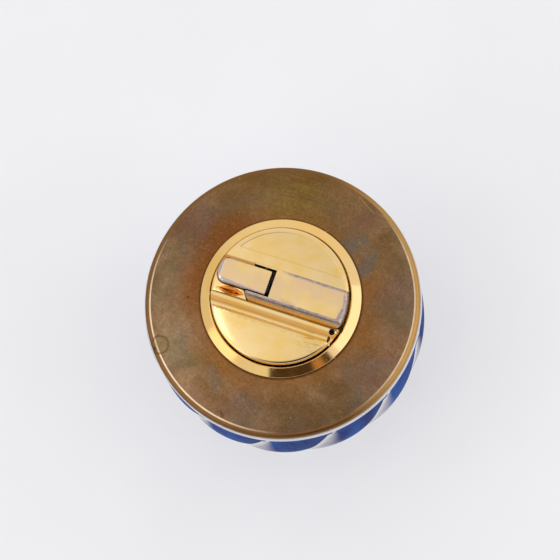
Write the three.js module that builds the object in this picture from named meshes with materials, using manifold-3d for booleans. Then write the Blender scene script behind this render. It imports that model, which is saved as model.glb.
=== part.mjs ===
// A round table lighter: a ribbed, glazed ceramic jar closed by a brass plate, with a drop-in gas
// insert that has a thumb lever and a snuffer cap. Millimetres, +Z up, origin at the middle of the base.
// The bar of lever and cap runs along X, and the lever's thumb end points along +X.
import * as THREE from 'three';
import { mergeVertices } from 'three/addons/utils/BufferGeometryUtils.js';
import Module from 'manifold-3d';

const wasm = await Module();
wasm.setup();

// ---- Driving dimensions ----------------------------------------------------------------------
const GAP = 0.3;                 // clearance between neighbouring pieces
const FINE = 48;                 // sides of the turned pieces that show
const PLAIN = 32;                // sides of the turned pieces inside
const SMALL = 14;                // sides of small rods and holes

// Jar
const RIBS = 13;
const RIB_DEPTH = 0.7;
const RIB_STEPS = 5;             // facets across one rib
const RIB_TWIST = THREE.MathUtils.degToRad(0.55);   // turn of a rib for each millimetre of height
const RIB_START = THREE.MathUtils.degToRad(7);      // where the first crease meets the rim
const FELT_RADIUS = 29;
const FELT_THICKNESS = 1;
const JAR_FOOT = FELT_THICKNESS + GAP;
const JAR_RIM = 59.4;
const COLLAR_RADIUS = 37.4;
const COLLAR_HEIGHT = 3;
const JAR_WALL = 4.4;
const JAR_FLOOR = 5;

// Brass plate and the well that hangs from it
const PLATE_TOP = 64;            // where the insert's bezel sits
const PLATE_DOME = 2.4;          // fall of the domed plate from the bezel to its rim
const PLATE_RADIUS = 37;
const PLATE_SHEET = 1;
const PLATE_EDGE = 1.2;          // radius of the rolled edge
const PLATE_RIM_BOTTOM = PLATE_TOP - PLATE_DOME - 1.8;
const WELL_RADIUS = 19.9;        // inside
const WELL_WALL = 0.6;
const WELL_FLOOR = 20;           // height of the well's underside
const WELL_FLANGE_RADIUS = 24;

// Insert. Its own frame has z = 0 at the top of the brass plate.
const BEZEL_RADIUS = 21.5;
const BEZEL_BORE = 19.3;
const BEZEL_SKIRT = -4;          // its lower edge, inside the well
const BEZEL_EDGE = 0.8;          // top of its outer edge
const BEZEL_CREST = 2.3;         // top of its inner edge
const SHELL_RADIUS = 19;
const SHELL_WALL = 1;
const DECK_TOP = 5;              // top of the two covers
const DECK_RADIUS = 18.5;
const DECK_SHEET = 0.9;
const BAR_TOP = 6.2;             // top of the lever and of the cap
const CASE_BOTTOM = -8.6;
const TANK_TOP = -9.1;
const TANK_BOTTOM = -40;
const SHEET = 0.65;              // metal thickness of lever and cap

// Across the bar, on Y
const LEVER_FAR = 6.3;
const LEVER_NEAR = -2.3;
const FLANK_FOOT = -3.9;
const CAP_FAR = 5.4;
const CAP_NEAR = -1.5;
const MID_Y = (CAP_FAR + CAP_NEAR) / 2;
const FAR_WALL = 7;
const NEAR_WALL = -4.4;
const WALL = 1;
const WALL_TOP = 2.6;
const WALL_HALF_LENGTH = 14.5;

// Along the bar, on X, and the pivots as [x, z]
const CAP_LEFT = -17.7;
const CAP_RIGHT = -3.65;
const LEVER_LEFT = -2.5;
const LEVER_END_RADIUS = 18.4;     // of its rounded thumb end
const LEVER_FOOT = -5.1;
const EAR_LEFT = -8.8;
const FINGER = [-9.4, -7.6];       // the lever's fingers, below its ears
const PORT_STRIP_RIGHT = -9.7;
const LEVER_PIVOT = [4, 1.2];
const CAP_PIVOT = [-6, 1.4];
const WHEEL_AXIS = [-3, -4];
const ROCKER_PIVOT = [3, -6.2];
const PAWL_PIVOT = [-8.5, 0.6];
const LIFT_STUD = [-8.6, -0.8];
const PAWL_BORE = 0.55;
const PIN_RADIUS = 0.8;
const AXLE_RADIUS = 0.7;
const PIN_NEAR_END = -5.7;
const PIN_FAR_END = 8.3;

// Spark wheel, flint, burner and valves
const WHEEL_RADIUS = 3.2;
const RATCHET_RADIUS = 2.3;
const RATCHET_TEETH = 8;
const FLINT_TUBE_RADIUS = 2.1;
const FLINT_TUBE_BORE = 1.5;
const BURNER_X = -12.5;
const JET_RADIUS = 1.2;
const VALVE_RADIUS = 2.4;
const FILL_RADIUS = 2.5;
const SPINDLE_RADIUS = 1;        // of the flame adjuster
const SCREW_RADIUS = 0.8;
const FLOOR_TOP = -7.6;          // chassis floor
const FLOOR_BOTTOM = -8.4;
const LID_TOP = -9.4;            // tank lid
const LID_BOTTOM = -10.4;
const FILL_VALVE = [9, -6];
const SPRING_X = 12.5;
const SCREWS = [-12.3, 12.8];    // Y of the two chassis screws

// ---- Solids ----------------------------------------------------------------------------------
// Shared corners are welded, flat slivers dropped and faces turned outward.
function solid(geometry) {
  const bare = new THREE.BufferGeometry();
  bare.setAttribute('position', geometry.getAttribute('position').clone());
  if (geometry.index) bare.setIndex(geometry.index.clone());
  const welded = mergeVertices(bare, 1e-4);
  const at = welded.getAttribute('position').array;
  const corners = welded.index.array;
  const kept = [];
  let volume = 0;
  for (let i = 0; i < corners.length; i += 3) {
    const [a, b, c] = [corners[i], corners[i + 1], corners[i + 2]];
    if (a === b || b === c || c === a) continue;
    kept.push(a, b, c);
    const [p, q, r] = [a, b, c].map((k) => new THREE.Vector3().fromArray(at, 3 * k));
    volume += p.dot(q.cross(r));
  }
  const triVerts = Uint32Array.from(volume < 0 ? kept.reverse() : kept);
  return new wasm.Manifold(new wasm.Mesh({ numProp: 3, vertProperties: Float32Array.from(at), triVerts }));
}

function geometryOf(manifold) {
  const { vertProperties, triVerts } = manifold.getMesh();
  const geometry = new THREE.BufferGeometry();
  geometry.setAttribute('position', new THREE.BufferAttribute(vertProperties, 3));
  geometry.setIndex(new THREE.BufferAttribute(triVerts, 1));
  return geometry;
}

const join = (first, ...more) => geometryOf(more.reduce((sum, g) => sum.add(solid(g)), solid(first)));
const cut = (first, ...more) => geometryOf(more.reduce((rest, g) => rest.subtract(solid(g)), solid(first)));
const common = (first, ...more) => geometryOf(more.reduce((part, g) => part.intersect(solid(g)), solid(first)));

// ---- Basic shapes ----------------------------------------------------------------------------
function block([x0, x1], [y0, y1], [z0, z1]) {
  const geometry = new THREE.BoxGeometry(x1 - x0, y1 - y0, z1 - z0);
  return geometry.translate((x0 + x1) / 2, (y0 + y1) / 2, (z0 + z1) / 2);
}

// A profile of [radius, z] corners turned about Z.
function turned(profile, sides) {
  const points = [...profile, profile[0]].map(([r, z]) => new THREE.Vector2(r, z));
  return new THREE.LatheGeometry(points, sides).rotateX(Math.PI / 2);
}

const ring = (inner, outer, z0, z1, sides) =>
  turned([[inner, z0], [outer, z0], [outer, z1], [inner, z1]], sides);

function rod(radius, z0, z1, sides = SMALL) {
  return ring(0, radius, z0, z1, sides);
}

// A rod along Y through the point [x, z].
function crossRod(radius, y0, y1, [x, z] = [0, 0], sides = SMALL) {
  return rod(radius, -y1, -y0, sides).rotateX(Math.PI / 2).translate(x, 0, z);
}

function outline(points) {
  return new THREE.Shape(points.map(([u, v]) => new THREE.Vector2(u, v)));
}

// An XY outline raised from z0 to z1.
function slab(shape, z0, z1) {
  return new THREE.ExtrudeGeometry(shape, { depth: z1 - z0, bevelEnabled: false }).translate(0, 0, z0);
}

// An XZ outline given thickness from y0 to y1.
function sidePlate(points, y0, y1) {
  const geometry = new THREE.ExtrudeGeometry(outline(points), { depth: y1 - y0, bevelEnabled: false });
  return geometry.rotateX(Math.PI / 2).translate(0, y1, 0);
}

// A YZ section drawn out from x0 to x1.
function bar(points, x0, x1) {
  const geometry = new THREE.ExtrudeGeometry(outline(points), { depth: x1 - x0, bevelEnabled: false });
  const turn = new THREE.Matrix4().set(0, 0, 1, x0, 1, 0, 0, 0, 0, 1, 0, 0, 0, 0, 0, 1);
  return geometry.applyMatrix4(turn);
}

// A compression spring about Z, with its last turns closed up at both ends.
function coil(radius, wire, turns, z0, z1, stepsPerTurn, sides) {
  class Helix extends THREE.Curve {
    getPoint(t, target = new THREE.Vector3()) {
      const turn = 2 * Math.PI * turns * t;
      const eased = THREE.MathUtils.smootherstep(t, 0, 1) * 0.35 + t * 0.65;
      const rise = THREE.MathUtils.lerp(z0 + wire, z1 - wire, eased);
      return target.set(radius * Math.cos(turn), radius * Math.sin(turn), rise);
    }
  }
  const section = new THREE.Shape();
  for (let i = 0; i < sides; i += 1) {
    const turn = (2 * Math.PI * i) / sides;
    const [u, v] = [wire * Math.cos(turn), wire * Math.sin(turn)];
    if (i === 0) section.moveTo(u, v);
    else section.lineTo(u, v);
  }
  return new THREE.ExtrudeGeometry(section, { steps: turns * stepsPerTurn, extrudePath: new Helix() });
}

// ---- Materials -------------------------------------------------------------------------------
const finish = (color, roughness, metalness) => () =>
  new THREE.MeshStandardMaterial({ color, roughness, metalness });
const GLAZE = finish(0x36598f, 0.12, 0);
const FELT = finish(0x1d3b2c, 0.95, 0);
const PLASTER = finish(0xd8d4c8, 0.9, 0);
const AGED_BRASS = finish(0x8f7150, 0.5, 0.9);
const GOLD = finish(0xe5c680, 0.22, 1);
const BRASS = finish(0xc9a45a, 0.35, 1);
const STEEL = finish(0xa8a9ab, 0.35, 1);
const SPARK_STEEL = finish(0x55565a, 0.55, 1);
const FLINT = finish(0x4a4744, 0.6, 0.6);
const RUBBER = finish(0x1c1c1d, 0.8, 0);

function piece(name, geometry, material, [x, y, z] = [0, 0, 0]) {
  const mesh = new THREE.Mesh(geometryOf(solid(geometry)), material());
  mesh.name = name;
  mesh.position.set(x, y, z);
  return mesh;
}

function assembly(position, ...members) {
  const group = new THREE.Group();
  group.position.set(...position);
  group.add(...members);
  return group;
}

// ---- Jar -------------------------------------------------------------------------------------
// Crest radius against height. The jar is widest near two thirds of its height.
function jarOutline() {
  const corners = [
    [30.6, JAR_FOOT], [32.1, 4], [33.9, 13], [35.7, 22], [37.2, 30.5], [38, 39], [37.9, 49],
    [COLLAR_RADIUS, JAR_RIM - COLLAR_HEIGHT],
  ];
  return new THREE.SplineCurve(corners.map(([r, z]) => new THREE.Vector2(r, z)));
}

// The outside is round at the foot and at the collar. Between them it swells into swirled ribs.
function jarRing(crest, z) {
  const swell = THREE.MathUtils.smoothstep(z, JAR_FOOT, JAR_FOOT + 4);
  const fade = THREE.MathUtils.smoothstep(z, JAR_RIM - COLLAR_HEIGHT - 4, JAR_RIM - COLLAR_HEIGHT);
  const depth = RIB_DEPTH * swell * (1 - fade);
  const turn = RIB_START + RIB_TWIST * (z - JAR_RIM);
  const points = [];
  for (let i = 0; i < RIBS * RIB_STEPS; i += 1) {
    const across = (i % RIB_STEPS) / RIB_STEPS;
    const radius = crest - depth * Math.abs(2 * across - 1) ** 2.4;
    const angle = (2 * Math.PI * i) / (RIBS * RIB_STEPS) + turn;
    points.push([radius * Math.cos(angle), radius * Math.sin(angle), z]);
  }
  return points;
}

function skinned(rings) {
  const sides = rings[0].length;
  const indices = [];
  for (let row = 0; row + 1 < rings.length; row += 1) {
    for (let i = 0; i < sides; i += 1) {
      const next = (i + 1) % sides;
      const [a, b] = [row * sides + i, row * sides + next];
      indices.push(a, b, a + sides, b, b + sides, a + sides);
    }
  }
  const geometry = new THREE.BufferGeometry();
  geometry.setAttribute('position', new THREE.Float32BufferAttribute(rings.flat(2), 3));
  geometry.setIndex(indices);
  return geometry;
}

function ceramicBody() {
  const levels = 12;
  const profile = jarOutline().getSpacedPoints(levels);
  const plain = (radius, z) => jarRing(radius, JAR_RIM).map(([x, y]) => {
    const scale = radius / Math.hypot(x, y);
    return [x * scale, y * scale, z];
  });
  const outside = profile.map((p) => jarRing(p.x, p.y));
  const foot = outside[0].map(([, , z]) => [0, 0, z]);
  const inside = [
    plain(COLLAR_RADIUS - 0.4, JAR_RIM),
    plain(COLLAR_RADIUS - JAR_WALL, JAR_RIM),
    plain(COLLAR_RADIUS - JAR_WALL, 40),
    plain(31, 22),
    plain(27, JAR_FOOT + JAR_FLOOR + 2),
    plain(25, JAR_FOOT + JAR_FLOOR),
    plain(1, JAR_FOOT + JAR_FLOOR).map(([, , z]) => [0, 0, z]),
  ];
  return skinned([foot, ...outside, plain(COLLAR_RADIUS, JAR_RIM - 0.4), ...inside]);
}

// ---- Brass plate and well --------------------------------------------------------------------
// Height of the domed plate's upper face at a radius.
function plateHeight(radius) {
  const across = (radius - BEZEL_RADIUS) / (PLATE_RADIUS - PLATE_EDGE - BEZEL_RADIUS);
  return PLATE_TOP - PLATE_DOME * Math.max(0, across) ** 1.6;
}

function topPlate() {
  const rimTop = PLATE_TOP - PLATE_DOME;
  const edge = [0, 30, 60, 90].map((degrees) => {
    const turn = THREE.MathUtils.degToRad(degrees);
    const centre = [PLATE_RADIUS - PLATE_EDGE, rimTop - PLATE_EDGE];
    return [centre[0] + PLATE_EDGE * Math.cos(turn), centre[1] + PLATE_EDGE * Math.sin(turn)];
  });
  const rimInner = PLATE_RADIUS - 1.1;
  const dome = [WELL_RADIUS, BEZEL_RADIUS, 26, 30, 33.5].map((r) => [r, plateHeight(r)]);
  const underside = [...dome, [rimInner, rimTop]].map(([r, z]) => [r, z - PLATE_SHEET]);
  return turned([
    ...underside, [rimInner, PLATE_RIM_BOTTOM], [PLATE_RADIUS, PLATE_RIM_BOTTOM], ...edge, ...dome.reverse(),
  ], FINE);
}

function cementBed() {
  const top = PLATE_TOP - PLATE_DOME - PLATE_SHEET - GAP;
  return ring(33.3, PLATE_RADIUS - 1.4, JAR_RIM + GAP, top, PLAIN);
}

function insertWell() {
  const top = plateHeight(WELL_FLANGE_RADIUS) - PLATE_SHEET - GAP;
  const outer = WELL_RADIUS + WELL_WALL;
  return turned([
    [0, WELL_FLOOR], [outer, WELL_FLOOR], [outer, top - WELL_WALL], [WELL_FLANGE_RADIUS, top - WELL_WALL],
    [WELL_FLANGE_RADIUS, top], [WELL_RADIUS, top], [WELL_RADIUS, WELL_FLOOR + WELL_WALL],
    [0, WELL_FLOOR + WELL_WALL],
  ], PLAIN);
}

// ---- Insert: shells --------------------------------------------------------------------------
function bezelRing() {
  return turned([
    [BEZEL_BORE, BEZEL_SKIRT], [BEZEL_BORE + GAP, BEZEL_SKIRT], [BEZEL_BORE + GAP, GAP], [BEZEL_RADIUS, GAP],
    [BEZEL_RADIUS, BEZEL_EDGE], [BEZEL_BORE + GAP, BEZEL_CREST], [BEZEL_BORE, BEZEL_CREST],
  ], FINE);
}

// The notch in the case lets the lever's thumb end sink.
function mechanismCase() {
  const tube = ring(SHELL_RADIUS - SHELL_WALL, SHELL_RADIUS, CASE_BOTTOM, 0, PLAIN);
  const notch = block([14, 20], [FLANK_FOOT - GAP, LEVER_FAR + GAP], [-3.2, 1]);
  return cut(tube, notch);
}

// The deck is one flat drawn cap. The bar's slot parts it into a rear and a front cover.
function deck() {
  const shoulder = 0.5;
  const foot = SHELL_RADIUS - GAP;
  const under = DECK_TOP - DECK_SHEET;
  return turned([
    [0, DECK_TOP], [DECK_RADIUS - shoulder, DECK_TOP], [DECK_RADIUS, DECK_TOP - shoulder],
    [foot, GAP], [foot - DECK_SHEET, GAP], [DECK_RADIUS - DECK_SHEET, under], [0, under],
  ], FINE);
}

// The part of the deck inside a box, where the box is given on X and Y.
const deckWithin = (alongX, alongY) => common(deck(), block(alongX, alongY, [0, DECK_TOP + 1]));

// Beside the cap, the rear cover reaches further towards the bar. Its low end closes the slot's left end.
function rearCover() {
  const edge = LEVER_FAR + GAP;
  const overlap = 0.1;
  const plate = deckWithin([-20, 20], [edge, 20]);
  const besideCap = deckWithin([-20, PORT_STRIP_RIGHT], [CAP_FAR + GAP, edge + overlap]);
  const curtain = block([-15.9, 15.9], [edge, edge + SHEET], [WALL_TOP + GAP, DECK_TOP - 0.4]);
  const lowEnd = block([-20, -14], [CAP_NEAR, edge + overlap], [0, DECK_TOP - DECK_SHEET - GAP]);
  return join(plate, besideCap, curtain, common(deck(), lowEnd));
}

// A pointed oval, as the body to cut away.
function eyePort() {
  const [left, right, middle, half] = [-16.2, -10, -2.95, 1.75];
  const centre = (left + right) / 2;
  const shape = new THREE.Shape();
  shape.moveTo(left, middle);
  shape.quadraticCurveTo(centre, middle - half, right, middle);
  shape.quadraticCurveTo(centre, middle + half, left, middle);
  return new THREE.ExtrudeGeometry(shape, { depth: DECK_TOP + 1, bevelEnabled: false, curveSegments: 8 });
}

// A round channel runs along the bar's near side, over a bed, and ends in a small hole and a slot.
function frontCover() {
  const edge = FLANK_FOOT - GAP;
  const overlap = 0.1;
  const channel = { y: -6, z: 5.4, radius: 2, sides: 28 };
  const bedRise = [WALL_TOP + GAP, DECK_TOP - 0.4];
  const plate = deckWithin([-20, 20], [-20, edge]);
  const strip = deckWithin([-20, PORT_STRIP_RIGHT], [edge - overlap, CAP_NEAR - GAP]);
  const disc = rod(DECK_RADIUS - 0.6, 0, DECK_TOP, FINE);
  const bed = common(disc, block([-18, 18], [-8.6, edge], bedRise));
  const trough = rod(channel.radius, -20, 20, channel.sides).rotateY(Math.PI / 2);
  const hole = rod(0.75, 2, DECK_TOP + 1, 12).translate(15.8, -4.9, 0);
  const slot = block([15.5, 16.5], [-8.1, -6.3], [2, DECK_TOP + 1]);
  return cut(join(plate, strip, bed), trough.translate(0, channel.y, channel.z), eyePort(), hole, slot);
}

// ---- Insert: chassis and what is fixed in it -------------------------------------------------
function chassis() {
  const sideWall = (y) => {
    const alongX = [-WALL_HALF_LENGTH, WALL_HALF_LENGTH];
    return block(alongX, [y, y + WALL], [FLOOR_TOP - 0.2, WALL_TOP]);
  };
  const floor = rod(SHELL_RADIUS - SHELL_WALL - GAP, FLOOR_BOTTOM, FLOOR_TOP, PLAIN);
  const acrossBoth = (radius, at) => crossRod(radius + GAP, NEAR_WALL - 2, FAR_WALL + 2, at);
  const throughFloor = (radius) => rod(radius + GAP, FLOOR_BOTTOM - 1, FLOOR_TOP + 1);
  const bores = [
    ...[LEVER_PIVOT, CAP_PIVOT].map((at) => acrossBoth(PIN_RADIUS, at)),
    ...[WHEEL_AXIS, ROCKER_PIVOT].map((at) => acrossBoth(AXLE_RADIUS, at)),
    throughFloor(FLINT_TUBE_RADIUS).translate(WHEEL_AXIS[0], MID_Y, 0),
    throughFloor(VALVE_RADIUS).translate(BURNER_X, MID_Y, 0),
    ...SCREWS.map((y) => throughFloor(SCREW_RADIUS).translate(0, y, 0)),
  ];
  return cut(join(floor, sideWall(NEAR_WALL - WALL), sideWall(FAR_WALL)), ...bores);
}

const crossPin = (radius) => crossRod(radius, PIN_NEAR_END, PIN_FAR_END);

// A tube round the jet with four air ports, held by a bracket from the chassis' far wall.
function windGuard() {
  const [inner, outer, low, high] = [2.05, 2.45, -3.5, 4.1];
  const [port, portHeight, sides] = [0.65, 2, 28];
  const clear = rod(inner + 0.15, low - 1, high + 1, sides);
  const bracket = cut(block([-0.6, 0.6], [2.2, FAR_WALL - GAP - MID_Y], [-3, -1.5]), clear);
  const air = rod(port, -4, 4, 12);
  return cut(
    join(ring(inner, outer, low, high, sides), bracket),
    air.clone().rotateY(Math.PI / 2).translate(0, 0, portHeight),
    air.clone().rotateX(Math.PI / 2).translate(0, 0, portHeight),
  );
}

function valveBody() {
  const [low, high] = [-11.5, -7.2];
  return ring(JET_RADIUS + GAP, VALVE_RADIUS, low, high, SMALL);
}

function chassisScrew() {
  const [headRadius, headTop, tip] = [1.7, FLOOR_TOP + 1.3, -11.5];
  const head = rod(headRadius, FLOOR_TOP + GAP, headTop);
  const shank = rod(SCREW_RADIUS, tip, FLOOR_TOP + 0.5);
  const slot = block([-2, 2], [-0.25, 0.25], [headTop - 0.5, headTop + 1]);
  return cut(join(head, shank), slot);
}

// ---- Insert: tank ----------------------------------------------------------------------------
// A closed cup with a shallow groove for the grip ring.
function fuelTank() {
  const [grooveLow, grooveHigh, grooveDepth] = [-15.8, -13.9, 0.4];
  const [outer, inner, chamfer] = [SHELL_RADIUS, SHELL_RADIUS - SHELL_WALL, 0.4];
  const cup = turned([
    [0, TANK_BOTTOM], [outer - chamfer, TANK_BOTTOM], [outer, TANK_BOTTOM + chamfer],
    [outer, grooveLow], [outer - grooveDepth, grooveLow],
    [outer - grooveDepth, grooveHigh], [outer, grooveHigh],
    [outer, TANK_TOP], [inner, TANK_TOP], [inner, TANK_BOTTOM + SHELL_WALL], [0, TANK_BOTTOM + SHELL_WALL],
  ], PLAIN);
  const throughFloor = (radius) => rod(radius + GAP, TANK_BOTTOM - 1, TANK_BOTTOM + 2);
  return cut(
    cup,
    throughFloor(FLINT_TUBE_RADIUS).translate(WHEEL_AXIS[0], MID_Y, 0),
    throughFloor(FILL_RADIUS).translate(...FILL_VALVE, 0),
    throughFloor(SPINDLE_RADIUS).translate(BURNER_X, MID_Y, 0),
  );
}

const gripRing = () => turned([[18.9, -15.5], [19.6, -15.3], [19.6, -14.4], [18.9, -14.2]], PLAIN);

function tankLid() {
  const throughLid = (radius) => rod(radius + GAP, LID_BOTTOM - 1, LID_TOP + 1);
  return cut(
    rod(SHELL_RADIUS - SHELL_WALL - GAP, LID_BOTTOM, LID_TOP, PLAIN),
    throughLid(FLINT_TUBE_RADIUS).translate(WHEEL_AXIS[0], MID_Y, 0),
    throughLid(VALVE_RADIUS).translate(BURNER_X, MID_Y, 0),
    ...SCREWS.map((y) => throughLid(SCREW_RADIUS).translate(0, y, 0)),
  );
}

const flintTube = () => ring(FLINT_TUBE_BORE, FLINT_TUBE_RADIUS, TANK_BOTTOM + GAP, FLOOR_TOP - 0.1, SMALL);

const flint = () => rod(1.2, -12.5, -7.55, 16);

const flintSpring = () => coil(0.95, 0.2, 8, -33.5, -12.8, 8, 4);

function flintScrew() {
  const [shankRadius, headRadius, tip] = [1.2, 2.4, -33.9];
  const shank = rod(shankRadius, TANK_BOTTOM - 0.5, tip, 16);
  const head = rod(headRadius, TANK_BOTTOM - 1.2, TANK_BOTTOM - GAP);
  const slot = block([-3, 3], [-0.3, 0.3], [TANK_BOTTOM - 2, TANK_BOTTOM - 0.7]);
  return cut(join(shank, head), slot);
}

// A knurled, slotted wheel under the tank, on a spindle that reaches up to the burner valve.
function flameAdjuster() {
  const [teeth, crest, root, spindleTop] = [16, 3.5, 3.1, -12];
  const knurl = Array.from({ length: 2 * teeth }, (_, i) => {
    const [radius, turn] = [i % 2 ? root : crest, (Math.PI * i) / teeth];
    return [radius * Math.cos(turn), radius * Math.sin(turn)];
  });
  const wheel = slab(outline(knurl), TANK_BOTTOM - 1.6, TANK_BOTTOM - GAP);
  const slot = block([-2.4, 2.4], [-0.35, 0.35], [TANK_BOTTOM - 3, TANK_BOTTOM - 1]);
  return cut(join(wheel, rod(SPINDLE_RADIUS, TANK_BOTTOM - 0.6, spindleTop, 14)), slot);
}

const fillValveBody = () => ring(1.3, FILL_RADIUS, TANK_BOTTOM - 0.9, -33, SMALL);

const fillValveStem = () => turned([[0, -40.6], [0.6, -40.6], [1, -40.2], [1, -35], [0, -35]], 16);

const leverSpring = () => coil(1.9, 0.25, 6, FLOOR_TOP + GAP, BAR_TOP - SHEET - 0.55, 9, 4);

// ---- Thumb lever, about its pivot ------------------------------------------------------------
// Its section across the bar.
function leverSection(top) {
  return bar([
    [LEVER_FAR, LEVER_FOOT], [LEVER_FAR, top - 0.4], [LEVER_FAR - 0.4, top], [LEVER_NEAR + 0.5, top],
    [LEVER_NEAR, top - 0.3], [FLANK_FOOT, top - 1.9], [FLANK_FOOT, LEVER_FOOT],
  ], FINGER[0], 19);
}

// The room inside that section.
function leverInside(top) {
  const [foot, ceiling] = [LEVER_FOOT - 1, top - SHEET - 0.2];
  return bar([
    [LEVER_FAR - SHEET, foot], [LEVER_FAR - SHEET, ceiling], [CAP_NEAR - 0.25, ceiling],
    [FLANK_FOOT + SHEET, top - 2.3], [FLANK_FOOT + SHEET, foot],
  ], FINGER[0] - 1, 19);
}

// Its outline from the side: fingers and ears at the left, the bearing cheeks, the heel and the thumb end.
function leverSide(top) {
  return sidePlate([
    [FINGER[0], -1.5], [FINGER[1], -1.5], [FINGER[1], 3.4], [0.6, 3.4],
    [1.8, -0.2], [3, -0.8], [5, -0.8], [6.4, 0], [7.8, 0],
    [7.8, LEVER_FOOT], [9.2, LEVER_FOOT], [9.2, 3.6], [16.6, 3.6],
    [16.6, BEZEL_EDGE], [19, BEZEL_EDGE], [19, top],
    [EAR_LEFT + 1.1, top], [EAR_LEFT + 0.3, top - 0.5], [EAR_LEFT, top - 1.2], [EAR_LEFT, 3.4], [FINGER[0], 3],
  ], FLANK_FOOT - 1, LEVER_FAR + 1);
}

function thumbLever() {
  const top = BAR_TOP;
  const end = rod(LEVER_END_RADIUS, LEVER_FOOT - 1, top + 1, FINE);
  const endInside = rod(LEVER_END_RADIUS - SHEET, LEVER_FOOT - 2, top + 2, FINE);
  const shell = cut(common(leverSection(top), leverSide(top), end), common(leverInside(top), endInside));
  const slotWidth = [CAP_NEAR - 0.25, LEVER_FAR - SHEET];
  const capSlot = block([FINGER[0] - 1, LEVER_LEFT], slotWidth, [LEVER_FOOT - 1, top + 1]);
  const nearHeel = block([7.4, 9.6], [FLANK_FOOT - 1, 0], [LEVER_FOOT - 1, 1]);
  const stud = crossRod(0.45, CAP_FAR - SHEET - 0.2, LEVER_FAR - 0.2, LIFT_STUD, 12);
  const pinBore = crossRod(PIN_RADIUS + GAP, -7, 10, LEVER_PIVOT);
  const pawlBore = crossRod(PAWL_BORE, -5, -2, PAWL_PIVOT, 12);
  const lever = cut(join(cut(shell, capSlot), stud), pinBore, pawlBore, nearHeel);
  return lever.translate(-LEVER_PIVOT[0], 0, -LEVER_PIVOT[1]);
}

const pawlPin = () => crossRod(0.4, -4.15, -1.7, [0, 0], 12);

// The pawl hangs from the lever and hooks under a tooth on the ratchet's left side.
function pawl() {
  const arm = sidePlate([
    [-0.95, 0.5], [-0.5, 0.95], [0.5, 0.95], [0.95, 0.4], [0.95, -0.6], [1.2, -4.6], [2, -5.8],
    [3.25, -6.05], [3, -6.75], [1.7, -6.7], [0.35, -5.2], [-0.95, -0.7],
  ], -3, -1.95);
  return cut(arm, crossRod(PAWL_BORE, -4, 0, [0, 0], 12));
}

// ---- Snuffer cap, about its pivot ------------------------------------------------------------
function roundedCapOutline(inset) {
  const [left, right, near, far, radius] = [
    CAP_LEFT + inset, CAP_RIGHT - inset, CAP_NEAR + inset, CAP_FAR - inset, 2.8 - inset,
  ];
  const shape = new THREE.Shape();
  shape.moveTo(right, near);
  shape.lineTo(right, far);
  shape.lineTo(left + radius, far);
  shape.absarc(left + radius, far - radius, radius, Math.PI / 2, Math.PI, false);
  shape.lineTo(left, near + radius);
  shape.absarc(left + radius, near + radius, radius, Math.PI, 1.5 * Math.PI, false);
  return shape;
}

function raisedCap(inset, z0, z1) {
  const options = { depth: z1 - z0, bevelEnabled: false, curveSegments: 6 };
  return new THREE.ExtrudeGeometry(roundedCapOutline(inset), options).translate(0, 0, z0);
}

function snufferCap() {
  const [px, pz] = CAP_PIVOT;
  const top = BAR_TOP - pz;
  const [left, right] = [CAP_LEFT - px - 1, CAP_RIGHT - px];
  const side = sidePlate([
    [left, 3], [-3.4, 3], [-3.3, -1.2], [-2.97, -1.45], [-1.71, -0.83], [-1.4, -1.3], [-0.5, -1.85],
    [0.5, -1.85], [1.4, -1.3], [1.9, 0], [right, 3.2], [right + 1, 3.2], [right + 1, top + 1], [left, top + 1],
  ], CAP_NEAR - 1, CAP_FAR + 1);
  const [low, ceiling, chamfer] = [-6, BAR_TOP - SHEET - 0.1, 0.3];
  const outside = join(raisedCap(0, low, BAR_TOP - chamfer), raisedCap(chamfer, low, BAR_TOP));
  const hollow = raisedCap(SHEET, low - 1, ceiling);
  const tail = block([CAP_RIGHT - 2, CAP_RIGHT + 1], [CAP_NEAR + SHEET, CAP_FAR - SHEET], [low, ceiling]);
  const shell = cut(outside, hollow, tail).translate(-px, 0, -pz);
  return cut(common(shell, side), crossRod(PIN_RADIUS + GAP, -4, 9));
}

// ---- Spark wheel, ratchet, burner and valve rocker -------------------------------------------
function toothed(teeth, outer, inner, lean) {
  return outline(Array.from({ length: 2 * teeth }, (_, i) => {
    const step = Math.floor(i / 2) + (i % 2 ? lean : 0);
    const [radius, turn] = [i % 2 ? inner : outer, (2 * Math.PI * step) / teeth];
    return [radius * Math.cos(turn), radius * Math.sin(turn)];
  }));
}

// Toothed discs are drawn in XY and turned so that their axis is Y, from y0 to y1.
const crossDisc = (shape, y0, y1) => slab(shape, -y1, -y0).rotateX(Math.PI / 2);

function sparkWheel() {
  const rasp = crossDisc(toothed(24, WHEEL_RADIUS, WHEEL_RADIUS - 0.3, 0.5), 0.6, 3.3);
  const hub = crossRod(1.5, -1.7, 0.8);
  return cut(join(rasp, hub), crossRod(AXLE_RADIUS + 0.2, -4, 5));
}

function ratchetWheel() {
  const disc = crossDisc(toothed(RATCHET_TEETH, RATCHET_RADIUS, RATCHET_RADIUS - 0.5, 0.15), -3, -2);
  return cut(disc, crossRod(AXLE_RADIUS + 0.2, -4, 5));
}

function burnerJet() {
  const [foot, collarLow, collarHigh, tip] = [-10.9, -5.3, -4.5, 0.8];
  const [collar, mouth, bore] = [1.9, 0.7, 0.35];
  return turned([
    [0, foot], [JET_RADIUS, foot], [JET_RADIUS, collarLow], [collar, collarLow], [collar, collarHigh],
    [JET_RADIUS, collarHigh], [JET_RADIUS, tip - 0.6], [mouth, tip], [bore, tip], [bore, tip - 3], [0, tip - 3],
  ], SMALL);
}

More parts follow.
